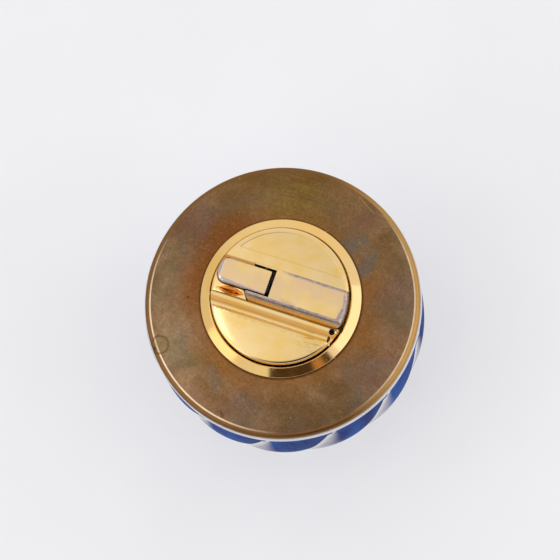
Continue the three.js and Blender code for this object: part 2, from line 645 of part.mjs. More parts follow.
// The rocker lies on the far side of the spark wheel. Its left end forks around the jet.
function valveRocker() {
  const [px] = ROCKER_PIVOT;
  const beam = sidePlate([
    [-17.6, 0], [-1.4, -0.45], [-0.6, -1.2], [0.6, -1.2], [1.4, -0.45], [6.4, -0.4], [6.4, 0.4],
    [1.4, 0.45], [0.6, 1.2], [-0.6, 1.2], [-1.4, 0.45], [-17.6, 0.6],
  ], 4.2, 5);
  const tab = block([-14.6 - px, -10.4 - px], [0, 5], [0, 0.6]);
  const slot = block([BURNER_X - 1.5 - px, BURNER_X + 1.5 - px], [-0.1, MID_Y + 1.5], [-1, 2]);
  const foot = block([2.9, 6.4], [4.5, LEVER_FAR], [-0.35, 0.35]);
  return cut(join(beam, tab, foot), slot, crossRod(AXLE_RADIUS + 0.2, 3, 8));
}

// ---- Assembly --------------------------------------------------------------------------------
const over = ([x, z], y = 0) => [x, y, z];
const from = ([x, z], [originX, originZ]) => [x - originX, 0, z - originZ];
const burner = [BURNER_X, MID_Y, 0];
const flintLine = [WHEEL_AXIS[0], MID_Y, 0];

const base = assembly(
  [0, 0, 0],
  piece('base_felt', rod(FELT_RADIUS, 0, FELT_THICKNESS, PLAIN), FELT),
  piece('ceramic_body', ceramicBody(), GLAZE),
  piece('cement_bed', cementBed(), PLASTER),
  piece('insert_well', insertWell(), BRASS),
  piece('top_plate', topPlate(), AGED_BRASS),
);

const lever = assembly(
  over(LEVER_PIVOT),
  piece('thumb_lever', thumbLever(), GOLD),
  piece('pawl_pin', pawlPin(), STEEL, from(PAWL_PIVOT, LEVER_PIVOT)),
  piece('pawl', pawl(), STEEL, from(PAWL_PIVOT, LEVER_PIVOT)),
);

const insert = assembly(
  [0, 0, PLATE_TOP],
  piece('bezel_ring', bezelRing(), GOLD),
  piece('rear_cover', rearCover(), GOLD),
  piece('front_cover', frontCover(), GOLD),
  piece('mechanism_case', mechanismCase(), BRASS),
  piece('chassis', chassis(), STEEL),
  piece('lever_pin', crossPin(PIN_RADIUS), STEEL, over(LEVER_PIVOT)),
  piece('cap_pin', crossPin(PIN_RADIUS), STEEL, over(CAP_PIVOT)),
  piece('wheel_axle', crossPin(AXLE_RADIUS), STEEL, over(WHEEL_AXIS)),
  piece('rocker_pin', crossPin(AXLE_RADIUS), STEEL, over(ROCKER_PIVOT)),
  piece('wind_guard', windGuard(), BRASS, burner),
  piece('valve_body', valveBody(), BRASS, burner),
  piece('lever_spring', leverSpring(), STEEL, [SPRING_X, MID_Y, 0]),
  ...SCREWS.map((y, i) => piece(`chassis_screw_${i + 1}`, chassisScrew(), STEEL, [0, y, 0])),
  piece('fuel_tank', fuelTank(), BRASS),
  piece('tank_lid', tankLid(), BRASS),
  piece('grip_ring', gripRing(), RUBBER),
  piece('flint_tube', flintTube(), BRASS, flintLine),
  piece('flint', flint(), FLINT, flintLine),
  piece('flint_spring', flintSpring(), STEEL, flintLine),
  piece('flint_screw', flintScrew(), BRASS, flintLine),
  piece('fill_valve_body', fillValveBody(), BRASS, [...FILL_VALVE, 0]),
  piece('fill_valve_stem', fillValveStem(), BRASS, [...FILL_VALVE, 0]),
  piece('flame_adjuster', flameAdjuster(), BRASS, burner),
  piece('burner_jet', burnerJet(), BRASS, burner),
  piece('spark_wheel', sparkWheel(), SPARK_STEEL, over(WHEEL_AXIS)),
  piece('ratchet_wheel', ratchetWheel(), STEEL, over(WHEEL_AXIS)),
  piece('snuffer_cap', snufferCap(), GOLD, over(CAP_PIVOT)),
  piece('valve_rocker', valveRocker(), STEEL, over(ROCKER_PIVOT)),
  lever,
);

export default assembly([0, 0, 0], base, insert);
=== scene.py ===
import math

import bmesh
import bpy
from mathutils import Matrix, Vector


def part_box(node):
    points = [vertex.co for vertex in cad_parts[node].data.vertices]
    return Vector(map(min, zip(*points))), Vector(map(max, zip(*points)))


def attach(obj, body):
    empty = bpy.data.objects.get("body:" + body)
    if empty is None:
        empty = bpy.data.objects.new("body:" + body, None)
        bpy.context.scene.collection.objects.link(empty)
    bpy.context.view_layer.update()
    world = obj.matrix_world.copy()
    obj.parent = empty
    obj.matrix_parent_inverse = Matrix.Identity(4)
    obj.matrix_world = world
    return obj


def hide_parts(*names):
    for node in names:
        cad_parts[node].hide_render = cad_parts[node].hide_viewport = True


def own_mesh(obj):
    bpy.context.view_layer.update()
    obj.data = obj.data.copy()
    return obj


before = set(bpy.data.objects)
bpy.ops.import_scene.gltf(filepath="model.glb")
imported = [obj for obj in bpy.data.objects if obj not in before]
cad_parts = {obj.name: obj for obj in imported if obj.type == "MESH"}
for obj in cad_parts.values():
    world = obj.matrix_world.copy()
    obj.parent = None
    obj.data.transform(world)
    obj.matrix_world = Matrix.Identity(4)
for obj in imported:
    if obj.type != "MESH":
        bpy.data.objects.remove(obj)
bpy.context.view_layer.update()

MM = 0.001


def span(node):
    """A CAD node's lowest and highest corner, in millimetres."""
    low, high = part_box(node)
    return low / MM, high / MM


# ---- Driving dimensions ------------------------------------------------------------------------
JAR_LOW, JAR_HIGH = span("ceramic_body")
PLATE_LOW, PLATE_HIGH = span("top_plate")
BEZEL_LOW, BEZEL_HIGH = span("bezel_ring")
LEVER_LOW, LEVER_HIGH = span("thumb_lever")
CAP_LOW, CAP_HIGH = span("snuffer_cap")
FELT_LOW, FELT_HIGH = span("base_felt")

PLATE_TOP = PLATE_HIGH.z             # where the insert's bezel sits
PLATE_RADIUS = PLATE_HIGH.x
PLATE_DOME = 2.4                     # fall of the plate from the bezel to its rim
PLATE_EDGE = 1.2                     # radius of the rolled edge
PLATE_SHEET = 1.0
PLATE_HOLE = 19.9
BEZEL_RADIUS = BEZEL_HIGH.x
BEZEL_BORE = 19.3
BEZEL_LIP = 18.8                     # inner edge of the bezel's top

JAR_FOOT = JAR_LOW.z
JAR_RIM = JAR_HIGH.z
JAR_WALL = 4.4
COLLAR_RADIUS = 37.4
COLLAR_HEIGHT = 3.0
RIBS = 13
RIB_DEPTH = 0.7
RIB_TWIST = math.radians(0.55)       # turn of a rib for each millimetre of height
RIB_START = math.radians(7)          # where the first crease meets the rim

DECK_TOP = PLATE_TOP + 5.0
DECK_RADIUS = 18.3
LEVER_END = 18.25                    # radius of the lever's thumb end
BAR_TOP = LEVER_HIGH.z
SHEET = 0.65                         # metal of the lever and the cap
LEVER_NEAR = -2.3                    # edges of the lever's flat top
LEVER_FAR = 6.3


# ---- Mesh making -------------------------------------------------------------------------------
def made(name, points, faces):
    """A new object from points in millimetres, with its faces turned outward."""
    mesh = bpy.data.meshes.new(name)
    mesh.from_pydata([Vector(p) * MM for p in points], [], faces)
    work = bmesh.new()
    work.from_mesh(mesh)
    bmesh.ops.remove_doubles(work, verts=work.verts, dist=0.002 * MM)
    bmesh.ops.dissolve_degenerate(work, edges=work.edges, dist=0.0005 * MM)
    loose = [edge for edge in work.edges if not edge.link_faces]
    bmesh.ops.delete(work, geom=loose, context="EDGES")
    bmesh.ops.recalc_face_normals(work, faces=work.faces)
    work.to_mesh(mesh)
    work.free()
    piece = bpy.data.objects.new(name, mesh)
    bpy.context.scene.collection.objects.link(piece)
    return piece


def skinned(name, loops, closed=False):
    """Quads between loops of equal length. The ends are capped, or join each other where closed is set."""
    count = len(loops[0])
    points = [p for loop in loops for p in loop]
    faces = []
    for row in range(len(loops) - (0 if closed else 1)):
        this, above = row * count, (row + 1) % len(loops) * count
        for i in range(count):
            after = (i + 1) % count
            faces.append((this + i, this + after, above + after, above + i))
    if not closed:
        faces.append(tuple(range(count))[::-1])
        faces.append(tuple(range(len(points) - count, len(points))))
    return made(name, points, faces)


def toward(azimuth, elevation):
    """A unit vector from its azimuth and elevation in degrees."""
    azimuth, elevation = math.radians(azimuth), math.radians(elevation)
    level = math.cos(elevation)
    return Vector((math.cos(azimuth) * level, math.sin(azimuth) * level, math.sin(elevation)))


def circle(radius, z, sides):
    turn = math.tau / sides
    return [(radius * math.cos(turn * i), radius * math.sin(turn * i), z) for i in range(sides)]


def turned(name, profile, sides=128):
    """A closed profile of (radius, z) corners turned about Z."""
    return skinned(name, [circle(radius, z, sides) for radius, z in profile], closed=True)


def filleted(corners, steps=5):
    """A closed outline of (u, v, fillet radius) corners, with each corner replaced by an arc."""
    points = []
    for i, (u, v, radius) in enumerate(corners):
        corner = Vector((u, v))
        before = Vector(corners[i - 1][:2]) - corner
        after = Vector(corners[(i + 1) % len(corners)][:2]) - corner
        opening = before.angle(after) / 2
        if radius <= 0 or opening > math.radians(89):
            points.append(tuple(corner))
            continue
        reach = min(radius / math.tan(opening), 0.49 * before.length, 0.49 * after.length)
        start, end = corner + before.normalized() * reach, corner + after.normalized() * reach
        inward = (before.normalized() + after.normalized()).normalized()
        middle = corner + inward * (reach / math.cos(opening))
        for step in range(steps + 1):
            share = step / steps
            arm_a, arm_b = start - middle, end - middle
            swept = arm_a.angle(arm_b)
            a = math.sin((1 - share) * swept) / math.sin(swept)
            b = math.sin(share * swept) / math.sin(swept)
            points.append(tuple(middle + arm_a * a + arm_b * b))
    return points


def arc(centre, radius, start, end, steps):
    """Points on an arc from one angle to another, in degrees, with both ends."""
    turns = [math.radians(start + (end - start) * i / steps) for i in range(steps + 1)]
    return [(centre[0] + radius * math.cos(a), centre[1] + radius * math.sin(a)) for a in turns]


def ring(centre, radius):
    return arc(centre, radius, 0, 360, 24)[:-1]


def prism(name, outline, along, low, high):
    """An outline drawn out along X, Y or Z. The outline's own axes are YZ, XZ or XY."""
    place = {
        "X": lambda u, v, w: (w, u, v),
        "Y": lambda u, v, w: (u, w, v),
        "Z": lambda u, v, w: (u, v, w),
    }[along]
    return skinned(name, [[place(u, v, w) for u, v in outline] for w in (low, high)])


def block(name, low, high):
    (x0, y0, z0), (x1, y1, z1) = low, high
    return prism(name, [(x0, y0), (x1, y0), (x1, y1), (x0, y1)], "Z", z0, z1)


def lathe(name, corners, sides=160, place=(0, 0)):
    """A profile of (radius, z, fillet radius) corners turned about the vertical through a place."""
    piece = turned(name, filleted(corners), sides)
    piece.data.transform(Matrix.Translation(Vector((*place, 0)) * MM))
    return piece


def settled(piece):
    """Applies the piece's modifiers to its mesh."""
    bpy.context.view_layer.update()
    ready = piece.evaluated_get(bpy.context.evaluated_depsgraph_get())
    mesh = bpy.data.meshes.new_from_object(ready)
    piece.modifiers.clear()
    old, piece.data = piece.data, mesh
    bpy.data.meshes.remove(old)
    mesh.name = piece.name
    return piece


def carved(piece, operation, *others):
    """Joins to piece, cuts from it or keeps of it what the others hold, and removes the others."""
    for other in others:
        modifier = piece.modifiers.new("carve", "BOOLEAN")
        modifier.operation = operation
        modifier.solver = "EXACT"
        modifier.object = other
        settled(piece)
        bpy.data.objects.remove(other)
    return piece


def softened(piece, width, steps=3):
    """Rounds the edges that turn by more than 32 degrees, and shades the rest smooth."""
    if width:
        modifier = piece.modifiers.new("bevel", "BEVEL")
        modifier.limit_method = "ANGLE"
        modifier.angle_limit = math.radians(32)
        modifier.width = width * MM
        modifier.segments = steps
        modifier.harden_normals = False
        modifier.use_clamp_overlap = True
        settled(piece)
    smooth(piece)
    return piece


def smooth(piece, above=38):
    mesh = piece.data
    work = bmesh.new()
    work.from_mesh(mesh)
    for edge in work.edges:
        edge.smooth = len(edge.link_faces) == 2 and edge.calc_face_angle(0) < math.radians(above)
    for face in work.faces:
        face.smooth = True
    work.to_mesh(mesh)
    work.free()
    weighted = piece.modifiers.new("normals", "WEIGHTED_NORMAL")
    weighted.keep_sharp = True
    weighted.weight = 80
    return piece


def fit(piece, body, node, look):
    """Rides a piece on its body in place of a CAD node, with its look."""
    piece.data.materials.clear()
    piece.data.materials.append(look)
    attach(piece, body)
    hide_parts(node)
    return piece


# ---- Materials ---------------------------------------------------------------------------------
def tone(red, green, blue):
    """A colour given as 0 to 255 display values."""
    def linear(value):
        value /= 255
        return value / 12.92 if value <= 0.04045 else ((value + 0.055) / 1.055) ** 2.4
    return tuple(linear(value) for value in (red, green, blue)) + (1.0,)


class Graph:
    """A node tree under construction."""

    def __init__(self, tree):
        self.nodes, self.links = tree.nodes, tree.links
        self.nodes.clear()

    def feed(self, socket, value):
        if isinstance(value, bpy.types.NodeSocket):
            self.links.new(value, socket)
        else:
            socket.default_value = value

    def math(self, operation, *values):
        node = self.nodes.new("ShaderNodeMath")
        node.operation = operation
        for socket, value in zip(node.inputs, values):
            self.feed(socket, value)
        return node.outputs[0]

    def times(self, *values):
        return self.math("MULTIPLY", *values)

    def plus(self, *values):
        return self.math("ADD", *values)

    def most(self, *values):
        return self.math("MAXIMUM", *values)

    def apart(self, first, second):
        """How far two values are from each other."""
        return self.math("ABSOLUTE", self.math("SUBTRACT", first, second))

    def vector(self, operation, *values, scale=1.0):
        node = self.nodes.new("ShaderNodeVectorMath")
        node.operation = operation
        for socket, value in zip(node.inputs, values):
            self.feed(socket, value)
        if operation == "SCALE":
            node.inputs["Scale"].default_value = scale
        return node.outputs["Value" if operation in ("DISTANCE", "DOT_PRODUCT") else "Vector"]

    def rise(self, value, low, high):
        """0 at low and 1 at high, easing between. High may be below low."""
        node = self.nodes.new("ShaderNodeMapRange")
        node.interpolation_type = "SMOOTHSTEP"
        down = high < low
        self.feed(node.inputs[0], value)
        node.inputs[1].default_value = high if down else low
        node.inputs[2].default_value = low if down else high
        node.inputs[3].default_value = 1.0 if down else 0.0
        node.inputs[4].default_value = 0.0 if down else 1.0
        return node.outputs[0]

    def scaled(self, value, low, high):
        """A value from 0 to 1 brought to the range low to high."""
        return self.math("MULTIPLY_ADD", value, high - low, low)

    def mix(self, share, first, second):
        node = self.nodes.new("ShaderNodeMix")
        node.data_type = "RGBA"
        self.feed(node.inputs[0], share)
        self.feed(node.inputs[6], first)
        self.feed(node.inputs[7], second)
        return node.outputs[2]


class Look(Graph):
    """A material under construction. Places in it are the piece's own coordinates, in millimetres."""

    def __init__(self, name, metallic=0.0):
        self.material = bpy.data.materials.new(name)
        self.material.use_nodes = True
        super().__init__(self.material.node_tree)
        output = self.nodes.new("ShaderNodeOutputMaterial")
        self.shader = self.nodes.new("ShaderNodeBsdfPrincipled")
        self.links.new(self.shader.outputs["BSDF"], output.inputs["Surface"])
        self.give("Metallic", metallic)
        self.give("IOR", 1.5)
        self.heights = []
        self.colour = None
        self.place = self.vector("SCALE", self.nodes.new("ShaderNodeTexCoord").outputs["Object"], scale=1000)
        split = self.nodes.new("ShaderNodeSeparateXYZ")
        self.feed(split.inputs[0], self.place)
        self.x, self.y, self.z = split.outputs
        self.radius = self.math("SQRT", self.plus(self.times(self.x, self.x), self.times(self.y, self.y)))

    def give(self, name, value):
        self.feed(self.shader.inputs[name], value)

    def noise(self, size, detail=3.0, rough=0.55, stretch=(1, 1, 1), shift=0.0, warp=0.0):
        """Noise from 0 to 1 whose features are about `size` millimetres across."""
        node = self.nodes.new("ShaderNodeTexNoise")
        moved = self.vector("MULTIPLY_ADD", self.place, tuple(stretch), (shift, -shift, shift))
        self.feed(node.inputs["Vector"], moved)
        node.inputs["Scale"].default_value = 1 / size
        node.inputs["Detail"].default_value = detail
        node.inputs["Roughness"].default_value = rough
        node.inputs["Distortion"].default_value = warp
        return node.outputs[0]

    def specks(self, spacing, size, shift=0.0):
        """1 in small round specks, 0 elsewhere."""
        node = self.nodes.new("ShaderNodeTexVoronoi")
        self.feed(node.inputs["Vector"], self.vector("ADD", self.place, (shift, shift, shift)))
        node.inputs["Scale"].default_value = 1 / spacing
        return self.rise(self.times(node.outputs["Distance"], spacing), size, size * 0.4)

    def patches(self, low, high, *size, **details):
        """Noise that is 0 below low and 1 above high."""
        return self.rise(self.noise(*size, **details), low, high)

    def varied(self, low, high, *size, **details):
        """Noise between low and high."""
        return self.scaled(self.noise(*size, **details), low, high)

    def band(self, value, *edges):
        """1 where a value is between the second and third of four edges, easing to 0 at the outer two."""
        return self.times(self.rise(value, edges[0], edges[1]), self.rise(value, edges[3], edges[2]))

    def line(self, start, end, width):
        """1 along the straight scratch from start to end on XY, 0 away from it."""
        a, b = Vector(start), Vector(end)
        way = (b - a).normalized()
        along = self.plus(self.times(self.x, way.x), self.times(self.y, way.y))
        aside = self.math("SUBTRACT", self.times(self.x, way.y), self.times(self.y, way.x))
        off = self.apart(aside, a.x * way.y - a.y * way.x)
        first, last = a.dot(way), b.dot(way)
        inside = self.band(along, first, first + 1, last - 1, last)
        return self.times(inside, self.rise(off, width, width * 0.3))

    def spot(self, x, y, size, soft):
        """1 inside a round spot on XY, easing to 0 over `soft` millimetres."""
        flat = self.vector("MULTIPLY", self.place, (1, 1, 0))
        return self.rise(self.vector("DISTANCE", flat, (x, y, 0)), size, size - soft)

    def facing(self, azimuth, low, high):
        """1 on the side of the Z axis that faces an azimuth in degrees, and 0 away from it."""
        way = math.radians(azimuth)
        along = self.plus(self.times(self.x, math.cos(way)), self.times(self.y, math.sin(way)))
        return self.rise(self.math("DIVIDE", along, self.radius), low, high)

    def relief(self, height, depth):
        """Adds a height from 0 to 1 to the bump, `depth` millimetres deep."""
        self.heights.append(self.times(height, depth))

    def tint(self, where, share, shade):
        """Turns the colour towards a shade, by `share` where `where` is 1."""
        if share != 1:
            where = self.times(where, share)
        self.colour = self.mix(where, self.colour, shade)

    def done(self):
        self.give("Base Color", self.colour)
        if self.heights:
            total = self.heights[0]
            for height in self.heights[1:]:
                total = self.plus(total, height)
            bump = self.nodes.new("ShaderNodeBump")
            bump.inputs["Distance"].default_value = MM
            self.feed(bump.inputs["Height"], total)
            self.give("Normal", bump.outputs[0])
        return self.material


WHITE_GLAZE = tone(226, 226, 230)
# painted reflection: the grey-lavender that the glazed ribs show where they turn away
REFLECTION_GREY = tone(164, 160, 172)
COBALT = tone(22, 78, 160)
DEEP_COBALT = tone(8, 34, 104)


def glaze():
    """White glaze with a cobalt wedge on each rib, sharp at the crease and fading to grey-lavender below;
    the grey-lavender is painted reflection, and a painted dark line of shade runs under the collar.
    """
    look = Look("cobalt_and_white_glaze")
    turn = look.math("MULTIPLY_ADD", look.z, -RIB_TWIST, JAR_RIM * RIB_TWIST - RIB_START)
    angle = look.plus(look.math("ARCTAN2", look.y, look.x), turn)
    phase = look.math("FRACT", look.math("MULTIPLY_ADD", angle, RIBS / math.tau, RIBS))
    edge_drop = look.math("POWER", look.math("ABSOLUTE", look.math("MULTIPLY_ADD", phase, 2, -1)), 3)
    paint_top = look.math("MULTIPLY_ADD", edge_drop, -0.6, JAR_RIM - 1.5)
    paint_top = look.plus(paint_top, look.times(look.facing(-145, 0.35, 0.85), 1.35))
    below = look.math("SUBTRACT", paint_top, look.z)
    down = look.math("MINIMUM", below, 26)
    fade = look.math("MULTIPLY_ADD", down, 0.016, 0.04)
    off_edge = look.math("SUBTRACT", phase, look.times(down, 0.006))
    off_edge = look.plus(off_edge, look.varied(-0.03, 0.03, 7, 3))
    blue = look.math("MINIMUM", look.math("DIVIDE", off_edge, fade), 1.0)
    blue = look.times(look.rise(blue, 0, 1), look.rise(phase, 0.99, 0.97))
    # The grey-lavender band across each rib is painted reflection, where the rib turns away.
    lavender_reflection = look.band(phase, 0.01, 0.12, 0.985, 0.995)
    lavender_reflection = look.times(lavender_reflection, look.varied(0.35, 0.95, 5, 3, shift=21))
    painted = look.times(look.rise(below, -0.05, 0.2), look.rise(look.z, JAR_FOOT + 1.4, JAR_FOOT + 3))
    # Painted shade: a dark cobalt line just below the paint's top edge, under the collar.
    line = look.band(below, 0, 0.2, 0.4, 1.0)
    pooled = look.patches(0.3, 0.75, 6, 3, shift=13, stretch=(1, 1, 0.3))
    cobalt = look.mix(pooled, COBALT, DEEP_COBALT)
    cobalt = look.mix(look.most(line, look.rise(phase, 0.86, 0.98)), cobalt, DEEP_COBALT)
    look.colour = look.mix(look.times(lavender_reflection, painted), WHITE_GLAZE, REFLECTION_GREY)
    look.tint(look.times(blue, painted), 1, cobalt)
    pin_holes = look.specks(6, 0.12)
    look.tint(pin_holes, 1, tone(120, 112, 104))
    look.give("Roughness", look.varied(0.1, 0.2, 12, 3, shift=5))
    look.give("Specular IOR Level", 0.0)
    look.give("Coat Weight", look.scaled(look.rise(look.z, 42, 26), 0.12, 0.7))
    look.give("Coat Roughness", 0.05)
    look.relief(look.noise(3.2, 2, shift=3), 0.02)
    look.relief(look.math("SUBTRACT", 1.0, pin_holes), 0.03)
    return look.done()


def aged_brass():
    """The plate's brass: brown tarnish with orange towards the bezel, blue-grey clouds and an olive sheen
    painted on brushed strokes, with painted shadow round the bezel and painted highlights on the rolled rim.
    """
    look = Look("aged_brass", metallic=1.0)
    clouds = look.noise(16, 4, 0.6, warp=0.6)
    fine = look.noise(2.2, 6, 0.7, shift=7)
    look.colour = look.mix(look.rise(clouds, 0.32, 0.68), tone(117, 86, 51), tone(158, 125, 94))
    blue = look.patches(0.42, 0.78, 13, 4, 0.55, shift=31, warp=0.9)
    look.tint(blue, 0.75, tone(100, 96, 88))
    violet = look.patches(0.45, 0.75, 12, 3, 0.5, shift=57, warp=0.4)
    look.tint(violet, 0.5, tone(134, 92, 82))
    green = look.patches(0.48, 0.78, 10, 3, 0.5, shift=83, warp=0.7)
    look.tint(green, 0.4, tone(112, 112, 78))
    ragged = look.plus(look.radius, look.varied(-7, 7, 9, 4, shift=19))
    warm = look.times(look.rise(ragged, 29, 21), look.varied(0.5, 1.0, 6, 2, shift=61))
    look.tint(warm, 1, tone(144, 92, 40))
    left = look.times(look.facing(165, 0.6, 1), look.rise(look.radius, 31, 23))
    look.tint(left, 0.85, tone(128, 72, 28))
    cool = look.times(look.spot(13.5, 17, 9, 3), look.patches(0.42, 0.62, 5, 4, 0.6, shift=67))
    look.tint(cool, 0.7, tone(104, 104, 96))
    upper = look.times(look.rise(look.y, 12, 30), look.rise(look.x, 26, 6))
    look.tint(upper, 0.55, tone(124, 88, 36))
    # An olive sheen painted along brushed strokes near the top: the strokes are brushing, and the olive
    # brightening on them is painted reflection.
    band = look.rise(look.vector("DISTANCE", look.place, (-5, 26, PLATE_TOP)), 13, 3)
    strokes = look.noise(1.0, 4, 0.6, stretch=(0.12, 1.6, 1), shift=3)
    olive_sheen = look.times(band, look.rise(strokes, 0.38, 0.64))
    look.tint(olive_sheen, 0.65, tone(142, 120, 56))
    look.tint(look.rise(fine, 0.35, 0.75), 0.3, tone(98, 70, 44))
    grain = look.patches(0.4, 0.6, 0.6, 4, 0.75, shift=29)
    look.tint(grain, 0.3, tone(78, 54, 30))
    grain = look.patches(0.5, 0.72, 0.8, 3, 0.7, shift=39)
    look.tint(grain, 0.2, tone(170, 132, 84))
    # The rolled rim is darker brown all round, and painted lighter on the side facing azimuth 22 as a
    # painted highlight.
    roll = look.times(look.rise(look.radius, 35.6, 35.9), look.varied(0.6, 0.95, 4, 3, shift=73))
    rim_tone_and_highlight = look.mix(look.facing(22, 0.35, 0.9), tone(126, 88, 46), tone(196, 152, 86))
    look.tint(roll, 1, rim_tone_and_highlight)
    # A painted highlight: a thin near-white line on top of the rolled rim, only on the sides that face the
    # two softboxes.
    wear_and_highlight = look.band(look.radius, 35.25, 35.4, 35.65, 35.85)
    wear_and_highlight = look.times(wear_and_highlight, look.varied(0.4, 1.0, 2, 4, shift=71))
    lit = look.most(look.facing(-132, 0.45, 0.9), look.times(look.facing(10, 0.6, 0.95), 0.8))
    look.tint(look.times(wear_and_highlight, lit), 1, tone(252, 224, 190))
    # Painted shadow: a dark brown ring on the plate round the bezel's foot.
    inner = look.times(look.rise(look.radius, 22.3, 21.6), look.varied(0.4, 1.0, 1.5, 4))
    look.tint(inner, 1, tone(74, 42, 16))
    wobble = look.varied(-0.5, 0.5, 1.2, 3, shift=37)
    off_stain = look.vector("DISTANCE", look.vector("MULTIPLY", look.place, (1, 1, 0)), (-27.1, -21.6, 0))
    off_stain = look.plus(off_stain, wobble)
    ring = look.band(off_stain, 1.7, 2.3, 2.45, 2.8)
    mottled = look.times(look.rise(off_stain, 2.7, 2.0), look.patches(0.4, 0.6, 0.9, 3, shift=49))
    look.tint(mottled, 0.4, tone(138, 106, 44))
    look.tint(look.times(ring, look.scaled(fine, 0.2, 0.95)), 1, tone(84, 60, 28))
    nick = look.times(look.spot(-28.4, -23.0, 0.9, 0.8), look.rise(fine, 0.3, 0.6))
    smudge = look.times(look.spot(-5.3, -34, 1.5, 1.4), look.rise(fine, 0.35, 0.6))
    dark = look.most(nick, look.most(smudge, look.spot(-23.9, -7.3, 0.45, 0.35)))
    look.tint(dark, 1, tone(66, 44, 32))
    bright = look.most(look.specks(4.6, 0.15, 3), look.specks(9, 0.24, 11))
    bright = look.most(bright, look.specks(2.9, 0.12, 29))
    broken = look.patches(0.4, 0.62, 1.1, 2, shift=91)
    scratch = look.times(look.line((-20.8, -15.1), (9.8, -36.4), 0.09), broken)
    rim_scratch = look.times(look.line((10, 33.7), (16.4, 29.8), 0.12), 1.6)
    scratch = look.most(scratch, rim_scratch)
    hair = look.patches(0.68, 0.76, 0.55, 2, 0.4, stretch=(0.06, 1, 1), shift=41)
    hair = look.most(hair, look.patches(0.7, 0.78, 0.5, 2, 0.4, stretch=(1, 0.07, 1), shift=45))
    marks = look.most(look.times(scratch, 0.17), look.times(hair, 0.07))
    marks = look.most(marks, look.times(bright, 0.9))
    look.tint(marks, 1, tone(226, 186, 122))
    rough = look.scaled(look.rise(clouds, 0.3, 0.7), 0.32, 0.42)
    rough = look.plus(rough, look.scaled(fine, -0.05, 0.07))
    look.give("Roughness", look.plus(rough, look.times(look.rise(look.radius, 35, 35.8), 0.04)))
    look.relief(fine, 0.012)
    look.relief(hair, 0.004)
    look.relief(scratch, -0.015)
    return look.done()


GOLD_TONE = tone(240, 208, 150)
RICH_GOLD = tone(238, 200, 122)
NICKEL = tone(182, 166, 164)
WORN_TAN = tone(226, 192, 148)


def gold_base(name, rough=0.06):
    """Polished gold plating with faint clouds and hairline scratches. """
    look = Look(name, metallic=1.0)
    look.colour = look.mix(look.patches(0.35, 0.7, 7, 4, 0.6, warp=0.5), GOLD_TONE, RICH_GOLD)
    hair = look.patches(0.64, 0.72, 0.4, 2, 0.5, stretch=(0.06, 1, 1), shift=9)
    look.relief(hair, -0.003)
    look.relief(look.noise(2.6, 3, 0.5, shift=23), 0.004)
    haze = look.noise(5, 4, 0.6, shift=17)
    look.give("Roughness", look.scaled(haze, rough, rough + 0.08))
    return look


def bezel_gold():
    """Gold that is tarnished inside the bezel's lip, with painted reflections by the way it faces, painted
    shade under its outer edge, and one nick on top.
    """
    look = gold_base("gold_plate_bezel", 0.07)
    inside = look.times(look.rise(look.radius, BEZEL_LIP + 0.16, BEZEL_LIP + 0.02),
                       look.rise(look.z, BEZEL_HIGH.z - 0.02, BEZEL_HIGH.z - 0.2))
    look.tint(inside, 0.8, tone(150, 84, 26))
    # Painted reflections: the gold is tinted lighter or warmer by the way each side faces.
    look.tint(look.facing(60, -0.6, 0.9), 0.6, tone(236, 190, 108))
    look.tint(look.facing(-150, 0.1, 0.9), 0.6, tone(212, 168, 92))
    look.tint(look.facing(12, 0.5, 1), 0.5, tone(236, 204, 156))
    # Painted shade at the foot of the outer edge, where the bezel meets the plate.
    under = look.rise(look.z, PLATE_TOP + 0.55, PLATE_TOP + 0.2)
    look.tint(under, 0.8, tone(130, 78, 30))
    nick = look.most(
        look.line((-1.55, -20.1), (-1.25, -19.4), 0.09), look.line((-1.1, -20.2), (-0.8, -19.5), 0.08))
    look.relief(nick, -0.02)
    look.tint(nick, 0.7, tone(150, 100, 50))
    return look.done()


def panelled_gold():
    """Gold with the fine engraved line that frames the rear cover, and a painted shaded strip beside the
    cap.
    """
    look = gold_base("gold_plate_panelled")
    frame_edge, frame_radius = 9.3, 16.9
    arc = look.rise(look.apart(look.radius, frame_radius), 0.14, 0.04)
    arc = look.times(arc, look.rise(look.y, frame_edge - 0.1, frame_edge))
    chord = look.rise(look.apart(look.y, frame_edge), 0.14, 0.04)
    chord = look.times(chord, look.rise(look.radius, frame_radius, frame_radius - 0.1))
    engraved = look.most(arc, chord)
    look.relief(engraved, -0.05)
    # Painted shade: an orange-brown strip beside the cap's far edge, standing in for a shadowed wall there.
    beside_cap = look.times(look.rise(look.y, 6.4, 5.9), look.rise(look.x, -8.6, -9.2))
    look.tint(beside_cap, 0.8, tone(186, 122, 44))
    look.tint(engraved, 0.55, tone(190, 142, 68))
    return look.done()


